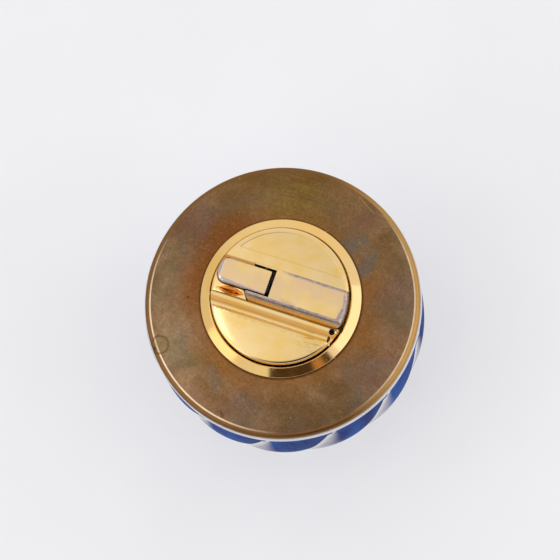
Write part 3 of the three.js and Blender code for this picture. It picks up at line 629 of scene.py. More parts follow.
def channelled_gold():
    """The front cover's gold, with painted shade and reflection in its channel and port, smears near its
    right end, and a painted dark reflection along its edge.
    """
    look = gold_base("gold_plate_channelled")
    # Painted shade: the channel's far wall is orange-brown, for the darker things it reflects.
    sunk = look.rise(look.z, DECK_TOP - 0.25, DECK_TOP - 0.7)
    far_wall_shade = look.band(look.y, -7.2, -6.3, -5.7, -4.9)
    streaks = look.noise(0.5, 3, 0.6, stretch=(0.06, 1, 1), shift=15)
    far_wall_shade = look.times(far_wall_shade, look.scaled(streaks, 0.5, 1.0))
    look.tint(look.times(far_wall_shade, sunk), 1, tone(200, 136, 46))
    # Painted reflection and shade in the port: warm orange, darker brown deeper down.
    in_port = look.times(look.rise(look.y, -4.15, -4.0), look.rise(look.z, DECK_TOP - 0.3, DECK_TOP - 0.8))
    look.tint(in_port, 0.7, tone(222, 144, 56))
    port_depth_shade = look.scaled(look.patches(0.35, 0.6, 0.9, 3, shift=33), 0.6, 1.0)
    port_depth_shade = look.times(port_depth_shade, look.rise(look.z, DECK_TOP - 0.85, DECK_TOP - 1.1))
    look.tint(look.times(in_port, port_depth_shade), 1, tone(140, 62, 16))
    smears = look.patches(0.5, 0.7, 0.5, 3, 0.6, stretch=(0.1, 1, 1), shift=35)
    smears = look.times(smears, look.spot(11.5, -9.2, 4.2, 3.5))
    look.tint(smears, 0.8, tone(140, 98, 46))
    # A painted dark reflection: a thin brown line near the cover's rounded edge, on the side facing azimuth
    # -62.
    edge_dark_reflection = look.band(look.radius, 17.65, 17.75, 17.95, 18.1)
    edge_dark_reflection = look.times(edge_dark_reflection, look.facing(-62, 0.8, 0.95))
    look.tint(edge_dark_reflection, 0.8, tone(112, 70, 24))
    return look.done()


def lever_gold():
    """Gold worn to tan on top, and through to nickel along the lever's edges and its thumb end."""
    look = gold_base("worn_gold_lever", 0.14)
    ragged = look.varied(-0.25, 0.25, 1.6, 3, 0.6, shift=29)
    across, along = look.plus(look.y, ragged), look.plus(look.x, ragged)
    worn_tan(look)
    near = look.rise(across, LEVER_NEAR + 0.6, LEVER_NEAR + 0.3)
    far = look.times(look.rise(across, LEVER_FAR - 1.1, LEVER_FAR - 0.35), look.rise(look.x, -2, 3))
    slant = look.math("MULTIPLY_ADD", look.apart(look.y, 2), 0.2, along)
    end = look.rise(slant, 16.7, 17.4)
    wear_and_highlight = look.times(look.line((0.4, -1.3), (5.6, -1.9), 0.7), look.scaled(ragged, 0.3, 1.6))
    worn = look.most(look.most(near, far), look.most(end, wear_and_highlight))
    worn = look.times(worn, look.rise(look.z, BAR_TOP - 0.9, BAR_TOP - 0.5))
    streaks = look.patches(0.3, 0.7, 0.6, 3, 0.6, stretch=(0.5, 1, 1), shift=87)
    nickel = look.mix(streaks, NICKEL, tone(148, 130, 128))
    look.tint(worn, 1, nickel)
    return look.done()


def cap_gold():
    """The same wear on the cap, in a band round its free end that narrows along the near edge, with a
    painted highlight line at the band's inner edge.
    """
    look = gold_base("worn_gold_cap", 0.14)
    ragged = look.varied(-0.2, 0.2, 1.6, 3, 0.6, shift=29)
    across, along = look.plus(look.y, ragged), look.plus(look.x, ragged)
    worn_tan(look)
    width = look.math("MULTIPLY_ADD", look.x, -0.06, 0.0)
    near = look.rise(look.math("SUBTRACT", across, width), CAP_LOW.y + 0.35, CAP_LOW.y + 0.05)
    far = look.rise(across, CAP_HIGH.y - 0.5, CAP_HIGH.y - 0.25)
    end = look.rise(along, CAP_LOW.x + 1.3, CAP_LOW.x + 1.0)
    worn = look.most(look.most(near, far), end)
    worn = look.times(worn, look.rise(look.z, BAR_TOP - 2, BAR_TOP - 1))
    # A painted highlight: a near-white line along the inner edge of the worn end.
    inner = look.band(along, CAP_LOW.x + 1.0, CAP_LOW.x + 1.15, CAP_LOW.x + 1.3, CAP_LOW.x + 1.5)
    nickel = look.mix(inner, NICKEL, tone(236, 228, 228))
    look.tint(worn, 1, nickel)
    return look.done()


def worn_tan(look):
    look.tint(look.patches(0.35, 0.6, 8, 3, 0.5, shift=43), 0.85, WORN_TAN)


def plain_metal(name, light, dark, rough=0.25, size=4.0):
    """Metal with soft clouds and turning marks."""
    look = Look(name, metallic=1.0)
    clouds = look.patches(0.3, 0.7, size, 4, 0.6, warp=0.4)
    lines = look.noise(0.5, 2, 0.5, stretch=(0.2, 0.2, 2.5), shift=5)
    look.colour = look.mix(clouds, light, dark)
    look.tint(look.rise(lines, 0.55, 0.75), 1, light)
    look.give("Roughness", look.varied(rough - 0.06, rough + 0.12, size * 0.5, 3, shift=11))
    look.relief(lines, 0.006)
    return look.done()


def felt():
    look = Look("green_felt")
    fibres = look.noise(0.7, 6, 0.75, warp=1.5)
    look.colour = look.mix(fibres, tone(16, 44, 30), tone(46, 84, 62))
    look.tint(look.patches(0.4, 0.7, 9, 3, shift=4), 1, tone(30, 58, 44))
    look.give("Roughness", look.scaled(fibres, 0.85, 1.0))
    look.shader.inputs["Sheen Weight"].default_value = 0.5
    look.relief(fibres, 0.25)
    return look.done()


def matt(name, light, dark, rough, size):
    look = Look(name)
    grain = look.noise(size, 5, 0.65)
    look.colour = look.mix(grain, light, dark)
    look.give("Roughness", look.scaled(grain, rough - 0.08, rough))
    look.relief(grain, 0.05)
    return look.done()


# ---- Jar ---------------------------------------------------------------------------------------
def eased(value, low, high):
    share = min(1, max(0, (value - low) / (high - low)))
    return share * share * (3 - 2 * share)


JAR_CRESTS = [(30.6, JAR_FOOT), (32.1, 4), (33.9, 13), (35.7, 22), (37.15, 30.5), (37.92, 39), (37.82, 49)]
JAR_CRESTS.append((COLLAR_RADIUS, JAR_RIM - COLLAR_HEIGHT))


def spline(points, share):
    """A point on the Catmull-Rom curve through the points."""
    place = share * (len(points) - 1)
    i = min(int(place), len(points) - 2)
    t = place - i
    corners = [Vector(points[min(max(k, 0), len(points) - 1)]) for k in range(i - 1, i + 3)]
    a, b, c, d = corners
    return b + 0.5 * t * (c - a + t * (2 * a - 5 * b + 4 * c - d + t * (3 * (b - c) + d - a)))


def jar_loop(crest, z, steps):
    """One level of the jar's outside, with its swirled ribs between the foot and the collar."""
    swell = eased(z, JAR_FOOT, JAR_FOOT + 4) - eased(z, JAR_RIM - COLLAR_HEIGHT - 4, JAR_RIM - COLLAR_HEIGHT)
    loop = []
    for i in range(RIBS * steps):
        across = (i % steps) / steps
        radius = crest - RIB_DEPTH * swell * abs(2 * across - 1) ** 2.4
        angle = math.tau * i / (RIBS * steps) + RIB_START + RIB_TWIST * (z - JAR_RIM)
        loop.append((radius * math.cos(angle), radius * math.sin(angle), z))
    return loop


def ceramic_body():
    steps, levels = 22, 66
    sides = RIBS * steps
    crests = [spline(JAR_CRESTS, i / levels) for i in range(levels + 1)]
    outside = [jar_loop(p.x, p.y, steps) for p in crests]
    foot = [circle(r, JAR_FOOT + z, sides) for r, z in ((0.5, 0.6), (26, 0.6), (26.8, 0), (29.6, 0))]
    inside = COLLAR_RADIUS - JAR_WALL
    rim = filleted([
        (COLLAR_RADIUS, JAR_RIM - 1, 0), (COLLAR_RADIUS, JAR_RIM, 0.5), (inside, JAR_RIM, 0.5),
        (inside, 40, 4), (31, 22, 6), (27.5, JAR_FOOT + 5, 3), (0.5, JAR_FOOT + 5, 0),
        (0.5, JAR_RIM - 1, 0),
    ])[:-1]
    loops = foot + outside + [circle(r, z, sides) for r, z in rim]
    return smooth(skinned("ceramic_jar", loops), above=50)


def plate_height(radius):
    across = (radius - BEZEL_RADIUS) / (PLATE_RADIUS - PLATE_EDGE - BEZEL_RADIUS)
    return PLATE_TOP - PLATE_DOME * max(0, across) ** 1.6


def top_plate():
    """The domed plate with its rolled rim, and the small dent that its rim has."""
    rim_top = PLATE_TOP - PLATE_DOME
    reach = PLATE_RADIUS - PLATE_EDGE
    radii = [PLATE_HOLE + (reach - PLATE_HOLE) * i / 40 for i in range(40)]
    upper = [(r, plate_height(r)) for r in radii]
    edge = arc((reach, rim_top - PLATE_EDGE), PLATE_EDGE, 90, 0, 12)
    inner = PLATE_RADIUS - 1.1
    lip = [(PLATE_RADIUS, PLATE_LOW.z + 0.2), (PLATE_RADIUS - 0.2, PLATE_LOW.z), (inner, PLATE_LOW.z)]
    under = [(inner, rim_top - PLATE_SHEET)] + [(r, plate_height(r) - PLATE_SHEET) for r in radii[::-2]]
    plate = turned("brass_plate", upper + edge + lip + under, 480)
    dent = toward(-141, 0) * PLATE_RADIUS + Vector((0, 0, rim_top))
    size = 1.4
    for vertex in plate.data.vertices:
        near = (vertex.co / MM - dent).length
        if near < size:
            vertex.co *= 1 - 0.012 * (1 - near / size) ** 1.5
    return smooth(plate, above=50)


def bezel_ring():
    low, base = BEZEL_LOW.z, PLATE_TOP + 0.3
    profile = filleted([
        (BEZEL_BORE, low, 0.1), (BEZEL_BORE + 0.3, low, 0.1), (BEZEL_BORE + 0.3, base, 0),
        (BEZEL_RADIUS, base, 0.1), (BEZEL_RADIUS, PLATE_TOP + 0.8, 0.25),
        (BEZEL_LIP + 0.3, BEZEL_HIGH.z, 0.2),
        (BEZEL_LIP, BEZEL_HIGH.z - 0.1, 0.1), (BEZEL_LIP, base + 0.9, 0), (BEZEL_BORE, base + 0.6, 0),
    ])
    return smooth(turned("gold_bezel", profile, 256), above=50)


# ---- Insert's top ------------------------------------------------------------------------------
def deck(name):
    """The insert's drawn top, slightly domed, with its rounded shoulder, whole."""
    crown, rings = 0.35, 16
    dome = [(DECK_RADIUS * i / rings, DECK_TOP - crown * (i / rings) ** 4, 0) for i in range(rings)]
    profile = filleted(dome + [
        (DECK_RADIUS, DECK_TOP - crown - 0.05, 0.8), (18.7, SKIRT_FOOT, 0), (17.8, SKIRT_FOOT, 0),
        (17.3, DECK_TOP - 0.95, 0.5), (0, DECK_TOP - 0.9, 0),
    ], steps=8)
    return turned(name, profile, 240)


REAR_EDGE = 6.42                     # the rear cover's edge, beside the lever
REAR_EDGE_BESIDE_CAP = 5.54
REAR_STRIP_END = -8.95
FRONT_EDGE = -4.06                   # the front cover's edge, beside the lever
STRIP_EDGE = -1.64                   # and beside the cap
STRIP_END = -9.56
SKIRT_FOOT = PLATE_TOP + 0.3         # where the covers' rims stand on the bezel
CURTAIN_FOOT = PLATE_TOP + 2.9       # how far the covers' inner walls hang down
HOLE = (16.2, -5.0)
SLOT = (16.1, -7.4)


def rear_cover():
    """The rear cover: a segment of the deck, widened beside the cap, with a wall hanging from its edge."""
    cover = carved(
        deck("gold_rear_cover"), "INTERSECT",
        block("half", (-20, REAR_EDGE, PLATE_TOP - 1), (20, 20, BAR_TOP)),
    )
    curtain = block("curtain", (-15.9, REAR_EDGE, CURTAIN_FOOT), (15.9, REAR_EDGE + SHEET, DECK_TOP - 0.4))
    end = carved(deck("end"), "INTERSECT", block(
        "corner", (-20, -1.5, PLATE_TOP - 1), (-14, REAR_EDGE + 0.1, DECK_TOP - 1.2)))
    beside_cap = carved(deck("beside_cap"), "INTERSECT", block(
        "strip", (-20, REAR_EDGE_BESIDE_CAP, PLATE_TOP - 1), (REAR_STRIP_END, REAR_EDGE + 0.1, BAR_TOP)))
    return softened(carved(cover, "UNION", beside_cap, curtain, end), 0.1)


def eye_scoop(left, right, middle, half, depth):
    """The pointed oval hollow beside the cap, as the body to cut away. It is deepest at its middle."""
    steps = 16
    loops = []
    for level in range(7):
        share = level / 6
        z = DECK_TOP - 0.12 - depth * share
        shrink = math.cos(share * math.pi / 2 * 0.92)
        outline = []
        for side in (-1, 1):
            for i in range(steps):
                t = i / steps if side < 0 else 1 - i / steps
                x = (left + right) / 2 + (t - 0.5) * (right - left) * (0.35 + 0.65 * shrink)
                outline.append((x, middle + side * half * 4 * t * (1 - t) * shrink, z))
        loops.append(outline)
    lid = [(x, y, BAR_TOP) for x, y, _ in loops[0]]
    return skinned("scoop", [lid] + loops)


def channel():
    """The round-bottomed channel along the front cover, with its rounded brim, as the body to cut away."""
    centre, radius = (-6.1, PLATE_TOP + 6.5), 2.7
    shoulder, brim, sky = 0.5, DECK_TOP - 0.06, BAR_TOP + 2
    drop = brim - shoulder - centre[1]
    away = math.sqrt((radius + shoulder) ** 2 - drop ** 2)
    lean = math.degrees(math.atan2(drop, -away)) % 360
    crest = (centre[0] - away, brim - shoulder)
    outline = [(crest[0], sky)] + arc(crest, shoulder, 90, lean - 180, 12)
    outline += arc(centre, radius, lean, 360, 48)[1:] + [(centre[0] + radius, sky)]
    return prism("trough", outline, "X", -20, 20)


def front_cover():
    """The front cover: a segment of the deck, a strip beside the cap and a corner round the cap's end."""
    cover = carved(deck("gold_front_cover"), "INTERSECT", prism("kept", [
        (-20, -20), (20, -20), (20, FRONT_EDGE), (-7.9, FRONT_EDGE), (STRIP_END, STRIP_EDGE),
        (-14.5, STRIP_EDGE), (-14.5, 1.3), (-20, 1.3)], "Z", PLATE_TOP - 1, BAR_TOP))
    under_corner = block("under_corner", (-21, STRIP_EDGE + 0.02, PLATE_TOP - 2), (-13.5, 2.3, DECK_TOP - 1))
    cap_room = prism("cap_room", cap_outline(-0.25), "Z", PLATE_TOP, BAR_TOP + 1)
    pawl_room = prism("pawl_room", [(x, PLATE_TOP + z) for x, z in (
        (-9.5, 2), (-9.5, 4), (-8.95, 4.5), (-7, 4.5), (-7, 2))], "Y", -3.9, -1.5)
    cover = carved(cover, "DIFFERENCE", under_corner, cap_room, pawl_room)
    backing = block(
        "backing", (-17, FRONT_EDGE - 0.1, DECK_TOP - 2.2), (-9.7, STRIP_EDGE - 0.1, DECK_TOP - 0.6))
    rim, high = 17.7, DECK_TOP - 0.4
    bed = turned("bed", [(0.3, PLATE_TOP), (rim, PLATE_TOP), (rim, high), (0.3, high)], 240)
    bed = carved(bed, "INTERSECT", block("under", (-18, -8.6, CURTAIN_FOOT), (18, FRONT_EDGE - 0.3, high)))
    cover = carved(cover, "UNION", backing, bed)
    hole = prism("hole", ring(HOLE, 0.8), "Z", PLATE_TOP + 2, BAR_TOP)
    slot = prism("slot", [(SLOT[0] + 0.45 * u - 0.25 * v, SLOT[1] + 1.15 * v) for u, v in ring((0, 0), 1)],
                 "Z", PLATE_TOP + 2, BAR_TOP)
    scoop = eye_scoop(-16.4, -8.9, -2.9, 1.15, 1.1)
    cover = carved(cover, "DIFFERENCE", hole, slot, channel(), scoop)
    return softened(cover, 0.1)


def thumb_lever():
    """The lever's bent sheet: flat top, bevelled flank, ears beside the cap, and a rounded thumb end."""
    top, foot = BAR_TOP, LEVER_LOW.z
    near, far, flank = LEVER_NEAR, LEVER_FAR, -3.9
    shell = prism("gold_lever", filleted([
        (far, foot, 0), (far, top, 0.45), (near, top, 0.5), (flank, top - 1.9, 0.25), (flank, foot, 0),
    ]), "X", -9.4, 19)
    inner = prism("inner", filleted([
        (far - SHEET, foot - 1, 0), (far - SHEET, top - SHEET, 0.3), (-1.75, top - SHEET - 0.2, 0.3),
        (flank + SHEET, top - 2.4, 0.2), (flank + SHEET, foot - 1, 0),
    ]), "X", -10.4, 19)
    side = prism("side", filleted([
        (-9.4, PLATE_TOP - 1.5, 0.3), (-7.6, PLATE_TOP - 1.5, 0.3), (-7.6, PLATE_TOP + 3.4, 0.4),
        (0.6, PLATE_TOP + 3.4, 0.4), (1.8, PLATE_TOP - 0.2, 0.4), (3, PLATE_TOP - 0.8, 0.4),
        (5, PLATE_TOP - 0.8, 0.4), (6.4, PLATE_TOP, 0.4), (7.8, PLATE_TOP, 0.2), (7.8, foot, 0.2),
        (9.2, foot, 0.2), (9.2, PLATE_TOP + 3.6, 0.4), (16.6, PLATE_TOP + 3.6, 0.4),
        (16.6, PLATE_TOP + 0.8, 0), (19, PLATE_TOP + 0.8, 0), (19, top + 1, 0),
        (-9.2, top + 1, 0), (-9.2, PLATE_TOP + 3.4, 0.1), (-9.4, PLATE_TOP + 3, 0.1),
    ], steps=4), "Y", flank - 1, far + 1)
    ears = prism("ears", filleted([
        (-9.6, foot - 1, 0), (19, foot - 1, 0), (19, top + 0.5, 0), (-8.3, top + 0.5, 0.4),
        (-9.25, top - 0.8, 0.8), (-9.6, PLATE_TOP + 4, 0.2),
    ], steps=6), "Y", flank - 1, far + 1)
    plan = prism("plan", filleted([
        (-7.6, flank, 0.3), (17.5, flank, 1.6), (18.5, near + 1, 2.5), (18.5, 4.6, 1.5),
        (17.6, far, 1.2), (-9.6, far, 0), (-9.6, -1.6, 0),
    ], steps=8), "Z", foot - 1, top + 1)
    reach, rounding = LEVER_END - 1.1, 1.1
    past_end = turned("past_end", [
        (reach, top + 1), *arc((reach, top - rounding), rounding, 90, 0, 8), (LEVER_END, foot - 2),
        (25, foot - 2), (25, top + 1),
    ], 240)
    end_inside = turned("end_inside", [
        (0, foot - 2), (LEVER_END - SHEET, foot - 2), (LEVER_END - SHEET, top + 2), (0, top + 2),
    ], 240)
    inner = carved(inner, "INTERSECT", end_inside)
    shell = carved(carved(shell, "INTERSECT", side, ears, plan), "DIFFERENCE", past_end)
    slot = block("slot", (-10.4, -1.75, foot - 1), (-2.5, far - 0.55, top + 1))
    far_ear = block("far_ear", (-10.4, 3, foot - 1), (-8.65, far + 1, top + 1))
    near_heel = block("near_heel", (7.4, flank - 1, foot - 1), (9.6, 0, PLATE_TOP + 1))
    shell = carved(shell, "DIFFERENCE", inner, slot, far_ear, near_heel)
    return softened(shell, 0.1)


def cap_outline(inset):
    """The cap seen from above, drawn in by inset: square at the gap, round at its free end."""
    steps = 10
    left, near, far, corner = CAP_LOW.x + inset, CAP_LOW.y + inset, CAP_HIGH.y - inset, 2.8 - inset
    round_end = arc((left + corner, far - corner), corner, 90, 180, steps)
    round_end += arc((left + corner, near + corner), corner, 180, 270, steps)
    return [(-1.0, far), (-3.65, far), *round_end, (-3.65, near), (-1.0, near)]


def snuffer_cap():
    """The hollow cap, cut underneath to its arm's outline."""
    top, low = BAR_TOP, PLATE_TOP - 5
    edge = 0.75
    rings = [(0, low)] + arc((edge, top - edge), edge, 180, 90, 7)
    cap = skinned("gold_cap", [[(x, y, z) for x, y in cap_outline(inset)] for inset, z in rings])
    hollow = prism("hollow", cap_outline(SHEET), "Z", low - 1, top - SHEET - 0.1)
    pivot_x, pivot_z = -6, PLATE_TOP + 1.4
    side = prism("side", filleted([(pivot_x + x, pivot_z + z, r) for x, z, r in (
        (-13, 3, 0), (-3.4, 3, 0.3), (-3.3, -1.2, 0.2), (-2.97, -1.45, 0.1), (-1.71, -0.83, 0.2),
        (-1.4, -1.3, 0.2), (-0.5, -1.85, 0.4), (0.5, -1.85, 0.4), (1.4, -1.3, 0.2), (1.9, 0, 0.4),
        (2.35, 3.2, 0.1), (2.35, 6, 0), (-13, 6, 0),
    )], steps=3), "Y", CAP_LOW.y - 1, CAP_HIGH.y + 1)
    cap = carved(carved(cap, "INTERSECT", side), "DIFFERENCE", hollow)
    return softened(cap, 0.08)


# ---- Insert's inner pieces ---------------------------------------------------------------------
BURNER = (-12.5, 1.95)
FLINT_LINE = (-3.0, 1.95)
FILL_VALVE = (9.0, -6.0)
LEVER_SPRING = (12.5, 1.95)
SHELL = 19.0                         # outer radius of the case and the tank
TANK_BOTTOM = PLATE_TOP - 40


def post(radius, low, high, place):
    return lathe("post", [(0, low, 0), (radius, low, 0), (radius, high, 0), (0, high, 0)], 48, place)


def screw_slot(width, low, high, place, length=8):
    x, y = place
    return block("slot", (x - length / 2, y - width / 2, low), (x + length / 2, y + width / 2, high))


def base_felt():
    radius = FELT_HIGH.x
    return smooth(lathe("green_felt_pad", [
        (0, 0, 0), (radius, 0, 0.3), (radius, FELT_HIGH.z, 0.3), (0, FELT_HIGH.z, 0)], 128))


def insert_well():
    inside, wall, flange, low = 19.9, 0.6, 24, 20
    top = plate_height(flange) - PLATE_SHEET - 0.3
    return smooth(lathe("brass_well", [
        (0, low, 0), (inside + wall, low, 1.2), (inside + wall, top - wall, 0.3), (flange, top - wall, 0.1),
        (flange, top, 0.1), (inside, top, 0.4), (inside, low + wall, 0.8), (0, low + wall, 0),
    ]))


def mechanism_case():
    low = PLATE_TOP - 8.6
    case = lathe("brass_case", [
        (SHELL - 1, low, 0.15), (SHELL, low, 0.15), (SHELL, PLATE_TOP, 0.1), (SHELL - 1, PLATE_TOP, 0.1)])
    notch = block("notch", (14, -4.2, PLATE_TOP - 3.2), (20, 6.6, PLATE_TOP + 1))
    return softened(carved(case, "DIFFERENCE", notch), 0.06, 2)


def fuel_tank():
    """A closed cup with a groove for the grip ring, a rolled foot and three holes in its floor."""
    top = PLATE_TOP - 9.1
    tank = lathe("brass_tank", [
        (0, TANK_BOTTOM, 0), (SHELL - 2.2, TANK_BOTTOM, 0.2), (SHELL, TANK_BOTTOM + 0.9, 0.8),
        (SHELL, PLATE_TOP - 15.8, 0.1), (SHELL - 0.4, PLATE_TOP - 15.7, 0.1),
        (SHELL - 0.4, PLATE_TOP - 14, 0.1), (SHELL, PLATE_TOP - 13.9, 0.1), (SHELL, top, 0.15),
        (SHELL - 1, top, 0.15), (SHELL - 1, TANK_BOTTOM + 1, 0.8),
        (0, TANK_BOTTOM + 1, 0),
    ])
    holes = [post(radius, TANK_BOTTOM - 1, TANK_BOTTOM + 2, place) for radius, place in (
        (2.4, FLINT_LINE), (2.8, FILL_VALVE), (1.3, BURNER))]
    return softened(carved(tank, "DIFFERENCE", *holes), 0.08, 2)


def grip_ring():
    return smooth(lathe("rubber_ring", [
        (18.85, PLATE_TOP - 15.5, 0.15), (19.55, PLATE_TOP - 15.3, 0.35), (19.55, PLATE_TOP - 14.4, 0.35),
        (18.85, PLATE_TOP - 14.2, 0.15),
    ]))


def flint_screw():
    low = TANK_BOTTOM - 1.2
    screw = lathe("brass_flint_screw", [
        (0, low, 0), (2.4, low, 0.25), (2.4, TANK_BOTTOM - 0.3, 0.1), (1.2, TANK_BOTTOM - 0.3, 0),
        (1.2, PLATE_TOP - 33.9, 0.2), (0, PLATE_TOP - 33.9, 0),
    ], 64, FLINT_LINE)
    return softened(carved(screw, "DIFFERENCE", screw_slot(0.6, low - 1, low + 0.5, FLINT_LINE)), 0.05, 2)


def fill_valve_body():
    low = TANK_BOTTOM - 0.9
    return smooth(lathe("brass_fill_valve", [
        (1.3, low, 0.15), (2.5, low, 0.2), (2.5, PLATE_TOP - 33, 0.2), (1.3, PLATE_TOP - 33, 0.1),
    ], 64, FILL_VALVE))


def fill_valve_stem():
    low, high = TANK_BOTTOM - 0.6, PLATE_TOP - 35
    return smooth(lathe("brass_fill_stem", [
        (0, low, 0), (0.6, low, 0.15), (1, low + 0.4, 0.1), (1, high, 0.1), (0, high, 0)], 40, FILL_VALVE))


def flame_adjuster():
    teeth, crest, root = 32, 3.5, 3.25
    low = TANK_BOTTOM - 1.6
    outline = []
    for i in range(teeth * 6):
        radius = root + (crest - root) * (0.5 + 0.5 * math.cos(math.tau * i / 6)) ** 0.7
        turn = math.tau * i / (teeth * 6)
        outline.append((BURNER[0] + radius * math.cos(turn), BURNER[1] + radius * math.sin(turn)))
    wheel = prism("brass_adjuster", outline, "Z", low, TANK_BOTTOM - 0.3)
    trimmed = lathe("trim", [
        (0, low - 0.2, 0), (2.9, low - 0.2, 0), (3.6, low + 0.4, 0), (3.6, TANK_BOTTOM, 0),
        (0, TANK_BOTTOM, 0),
    ], 96, BURNER)
    wheel = carved(wheel, "INTERSECT", trimmed)
    wheel = carved(wheel, "UNION", post(1, TANK_BOTTOM - 0.6, PLATE_TOP - 12, BURNER))
    return softened(carved(wheel, "DIFFERENCE", screw_slot(0.7, low - 1, low + 0.6, BURNER, 4.8)), 0, 2)


def wind_guard():
    low, high = PLATE_TOP - 3.5, PLATE_TOP + 4.1
    tube = lathe("brass_wind_guard", [
        (2.05, low, 0.1), (2.45, low, 0.1), (2.45, high, 0.15), (2.05, high, 0.15)], 64, BURNER)
    x, y = BURNER
    bracket = block("bracket", (x - 0.6, y + 2.2, PLATE_TOP - 3), (x + 0.6, 6.7, PLATE_TOP - 1.5))
    tube = carved(tube, "UNION", bracket)
    for along in "XY":
        u, w = (y, x) if along == "X" else (x, y)
        tube = carved(tube, "DIFFERENCE", prism("port", ring((u, PLATE_TOP + 2), 0.65), along, w - 4, w + 4))
    return softened(tube, 0)


def valve_body():
    low, high = PLATE_TOP - 11.5, PLATE_TOP - 7.2
    return smooth(lathe("brass_valve", [
        (1.5, low, 0.1), (2.4, low, 0.15), (2.4, high, 0.25), (1.5, high, 0.1)], 64, BURNER))


def burner_jet():
    z = PLATE_TOP
    return smooth(lathe("brass_jet", [
        (0, z - 10.9, 0), (1.2, z - 10.9, 0.1), (1.2, z - 5.3, 0), (1.9, z - 5.3, 0.1), (1.9, z - 4.5, 0.1),
        (1.2, z - 4.5, 0), (1.2, z + 0.2, 0.1), (0.7, z + 0.8, 0.1), (0.35, z + 0.8, 0.05),
        (0.35, z - 2.2, 0), (0, z - 2.2, 0),
    ], 48, BURNER))


def coil(name, place, radius, wire, turns, low, high):
    """A compression spring of round wire, with its last turns closed up at both ends."""
    loops, steps, sides = [], turns * 24, 10
    for i in range(steps + 1):
        share = i / steps
        settled_share = 0.35 * eased(share, 0, 1) + 0.65 * share
        z = low + wire + (high - low - 2 * wire) * settled_share
        turn = math.tau * turns * share
        loop = []
        for k in range(sides):
            out = radius + wire * math.cos(math.tau * k / sides)
            rise = wire * math.sin(math.tau * k / sides)
            loop.append((place[0] + out * math.cos(turn), place[1] + out * math.sin(turn), z + rise))
        loops.append(loop)
    return smooth(skinned(name, loops), above=60)


# ---- Putting it together -----------------------------------------------------------------------
LOOKS = {
    "brass": plain_metal("turned_brass", tone(218, 182, 114), tone(206, 166, 98)),
    "steel": plain_metal("plated_steel", tone(190, 190, 194), tone(150, 150, 156), 0.3),
    "spark_steel": plain_metal("hard_steel", tone(110, 110, 116), tone(70, 70, 76), 0.42, 1.5),
    "flint": matt("ferrocerium", tone(96, 92, 88), tone(60, 58, 54), 0.6, 0.8),
    "rubber": matt("black_rubber", tone(40, 40, 42), tone(24, 24, 26), 0.75, 0.6),
    "felt": felt(),
    "plaster": matt("white_cement", tone(226, 222, 210), tone(196, 190, 176), 0.9, 0.9),
}


def dress(look, *nodes):
    """Gives CAD nodes whose shape is right their finish."""
    for node in nodes:
        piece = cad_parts[node]
        piece.data.materials.clear()
        piece.data.materials.append(LOOKS[look])


def dress_inner_parts():
    dress("plaster", "cement_bed")
    dress("brass", "tank_lid", "flint_tube")
    dress("steel", "chassis", "lever_pin", "cap_pin", "wheel_axle", "rocker_pin", "chassis_screw_1",
          "chassis_screw_2", "pawl_pin", "pawl", "ratchet_wheel", "valve_rocker")
    dress("spark_steel", "spark_wheel")
    dress("flint", "flint")


def camera():
    """Looks steeply down from the front right, as a person at the table would."""
    target = Vector((0, 0, PLATE_TOP - PLATE_DOME))
    back, level, distance = toward(-48.92, 77.71), toward(18.04, 0), 480.0
    right = (level - back * level.dot(back)).normalized()
    place = target + back * distance
    aside, below = 0.00094, -0.01132      # the object stands a little off the picture's centre
    back = (back + right * aside + back.cross(right) * below).normalized()
    right = (right - back * right.dot(back)).normalized()
    up = back.cross(right)
    data = bpy.data.cameras.new("camera")
    data.sensor_width = 36
    data.lens = 115.5
    data.clip_start, data.clip_end = 0.01, 20
    eye = bpy.data.objects.new("camera", data)
    bpy.context.scene.collection.objects.link(eye)
    eye.rotation_mode = "QUATERNION"
    turn = Matrix((right, up, back)).transposed()
    eye.rotation_quaternion = turn.to_quaternion()
    eye.location = place * MM
    bpy.context.scene.camera = eye


def floor():
    """A pale table top, faintly mottled."""
    size = 6.0
    mesh = bpy.data.meshes.new("floor")
    corners = [(-size, -size, 0), (size, -size, 0), (size, size, 0), (-size, size, 0)]
    mesh.from_pydata(corners, [], [(0, 1, 2, 3)])
    table = bpy.data.objects.new("floor", mesh)
    bpy.context.scene.collection.objects.link(table)
    look = Look("table_top")
    paper = look.mix(look.noise(60, 3), tone(176, 176, 178), tone(182, 182, 184))
    look.colour = paper
    look.give("Emission Color", paper)
    look.give("Emission Strength", 0.92)       # a translucent sheet, lit from below as well
    look.give("Roughness", look.varied(0.75, 0.85, 20, 2))
    mesh.materials.append(look.done())


def area_light(name, place, size, power):
    data = bpy.data.lights.new(name, "AREA")
    data.shape = "DISK"
    data.size = size
    data.energy = power
    light = bpy.data.objects.new(name, data)
    bpy.context.scene.collection.objects.link(light)
    light.location = place
    light.rotation_mode = "QUATERNION"
    light.rotation_quaternion = (Vector(place) - Vector((0, 0, 0.03))).to_track_quat("Z", "Y")
    return light


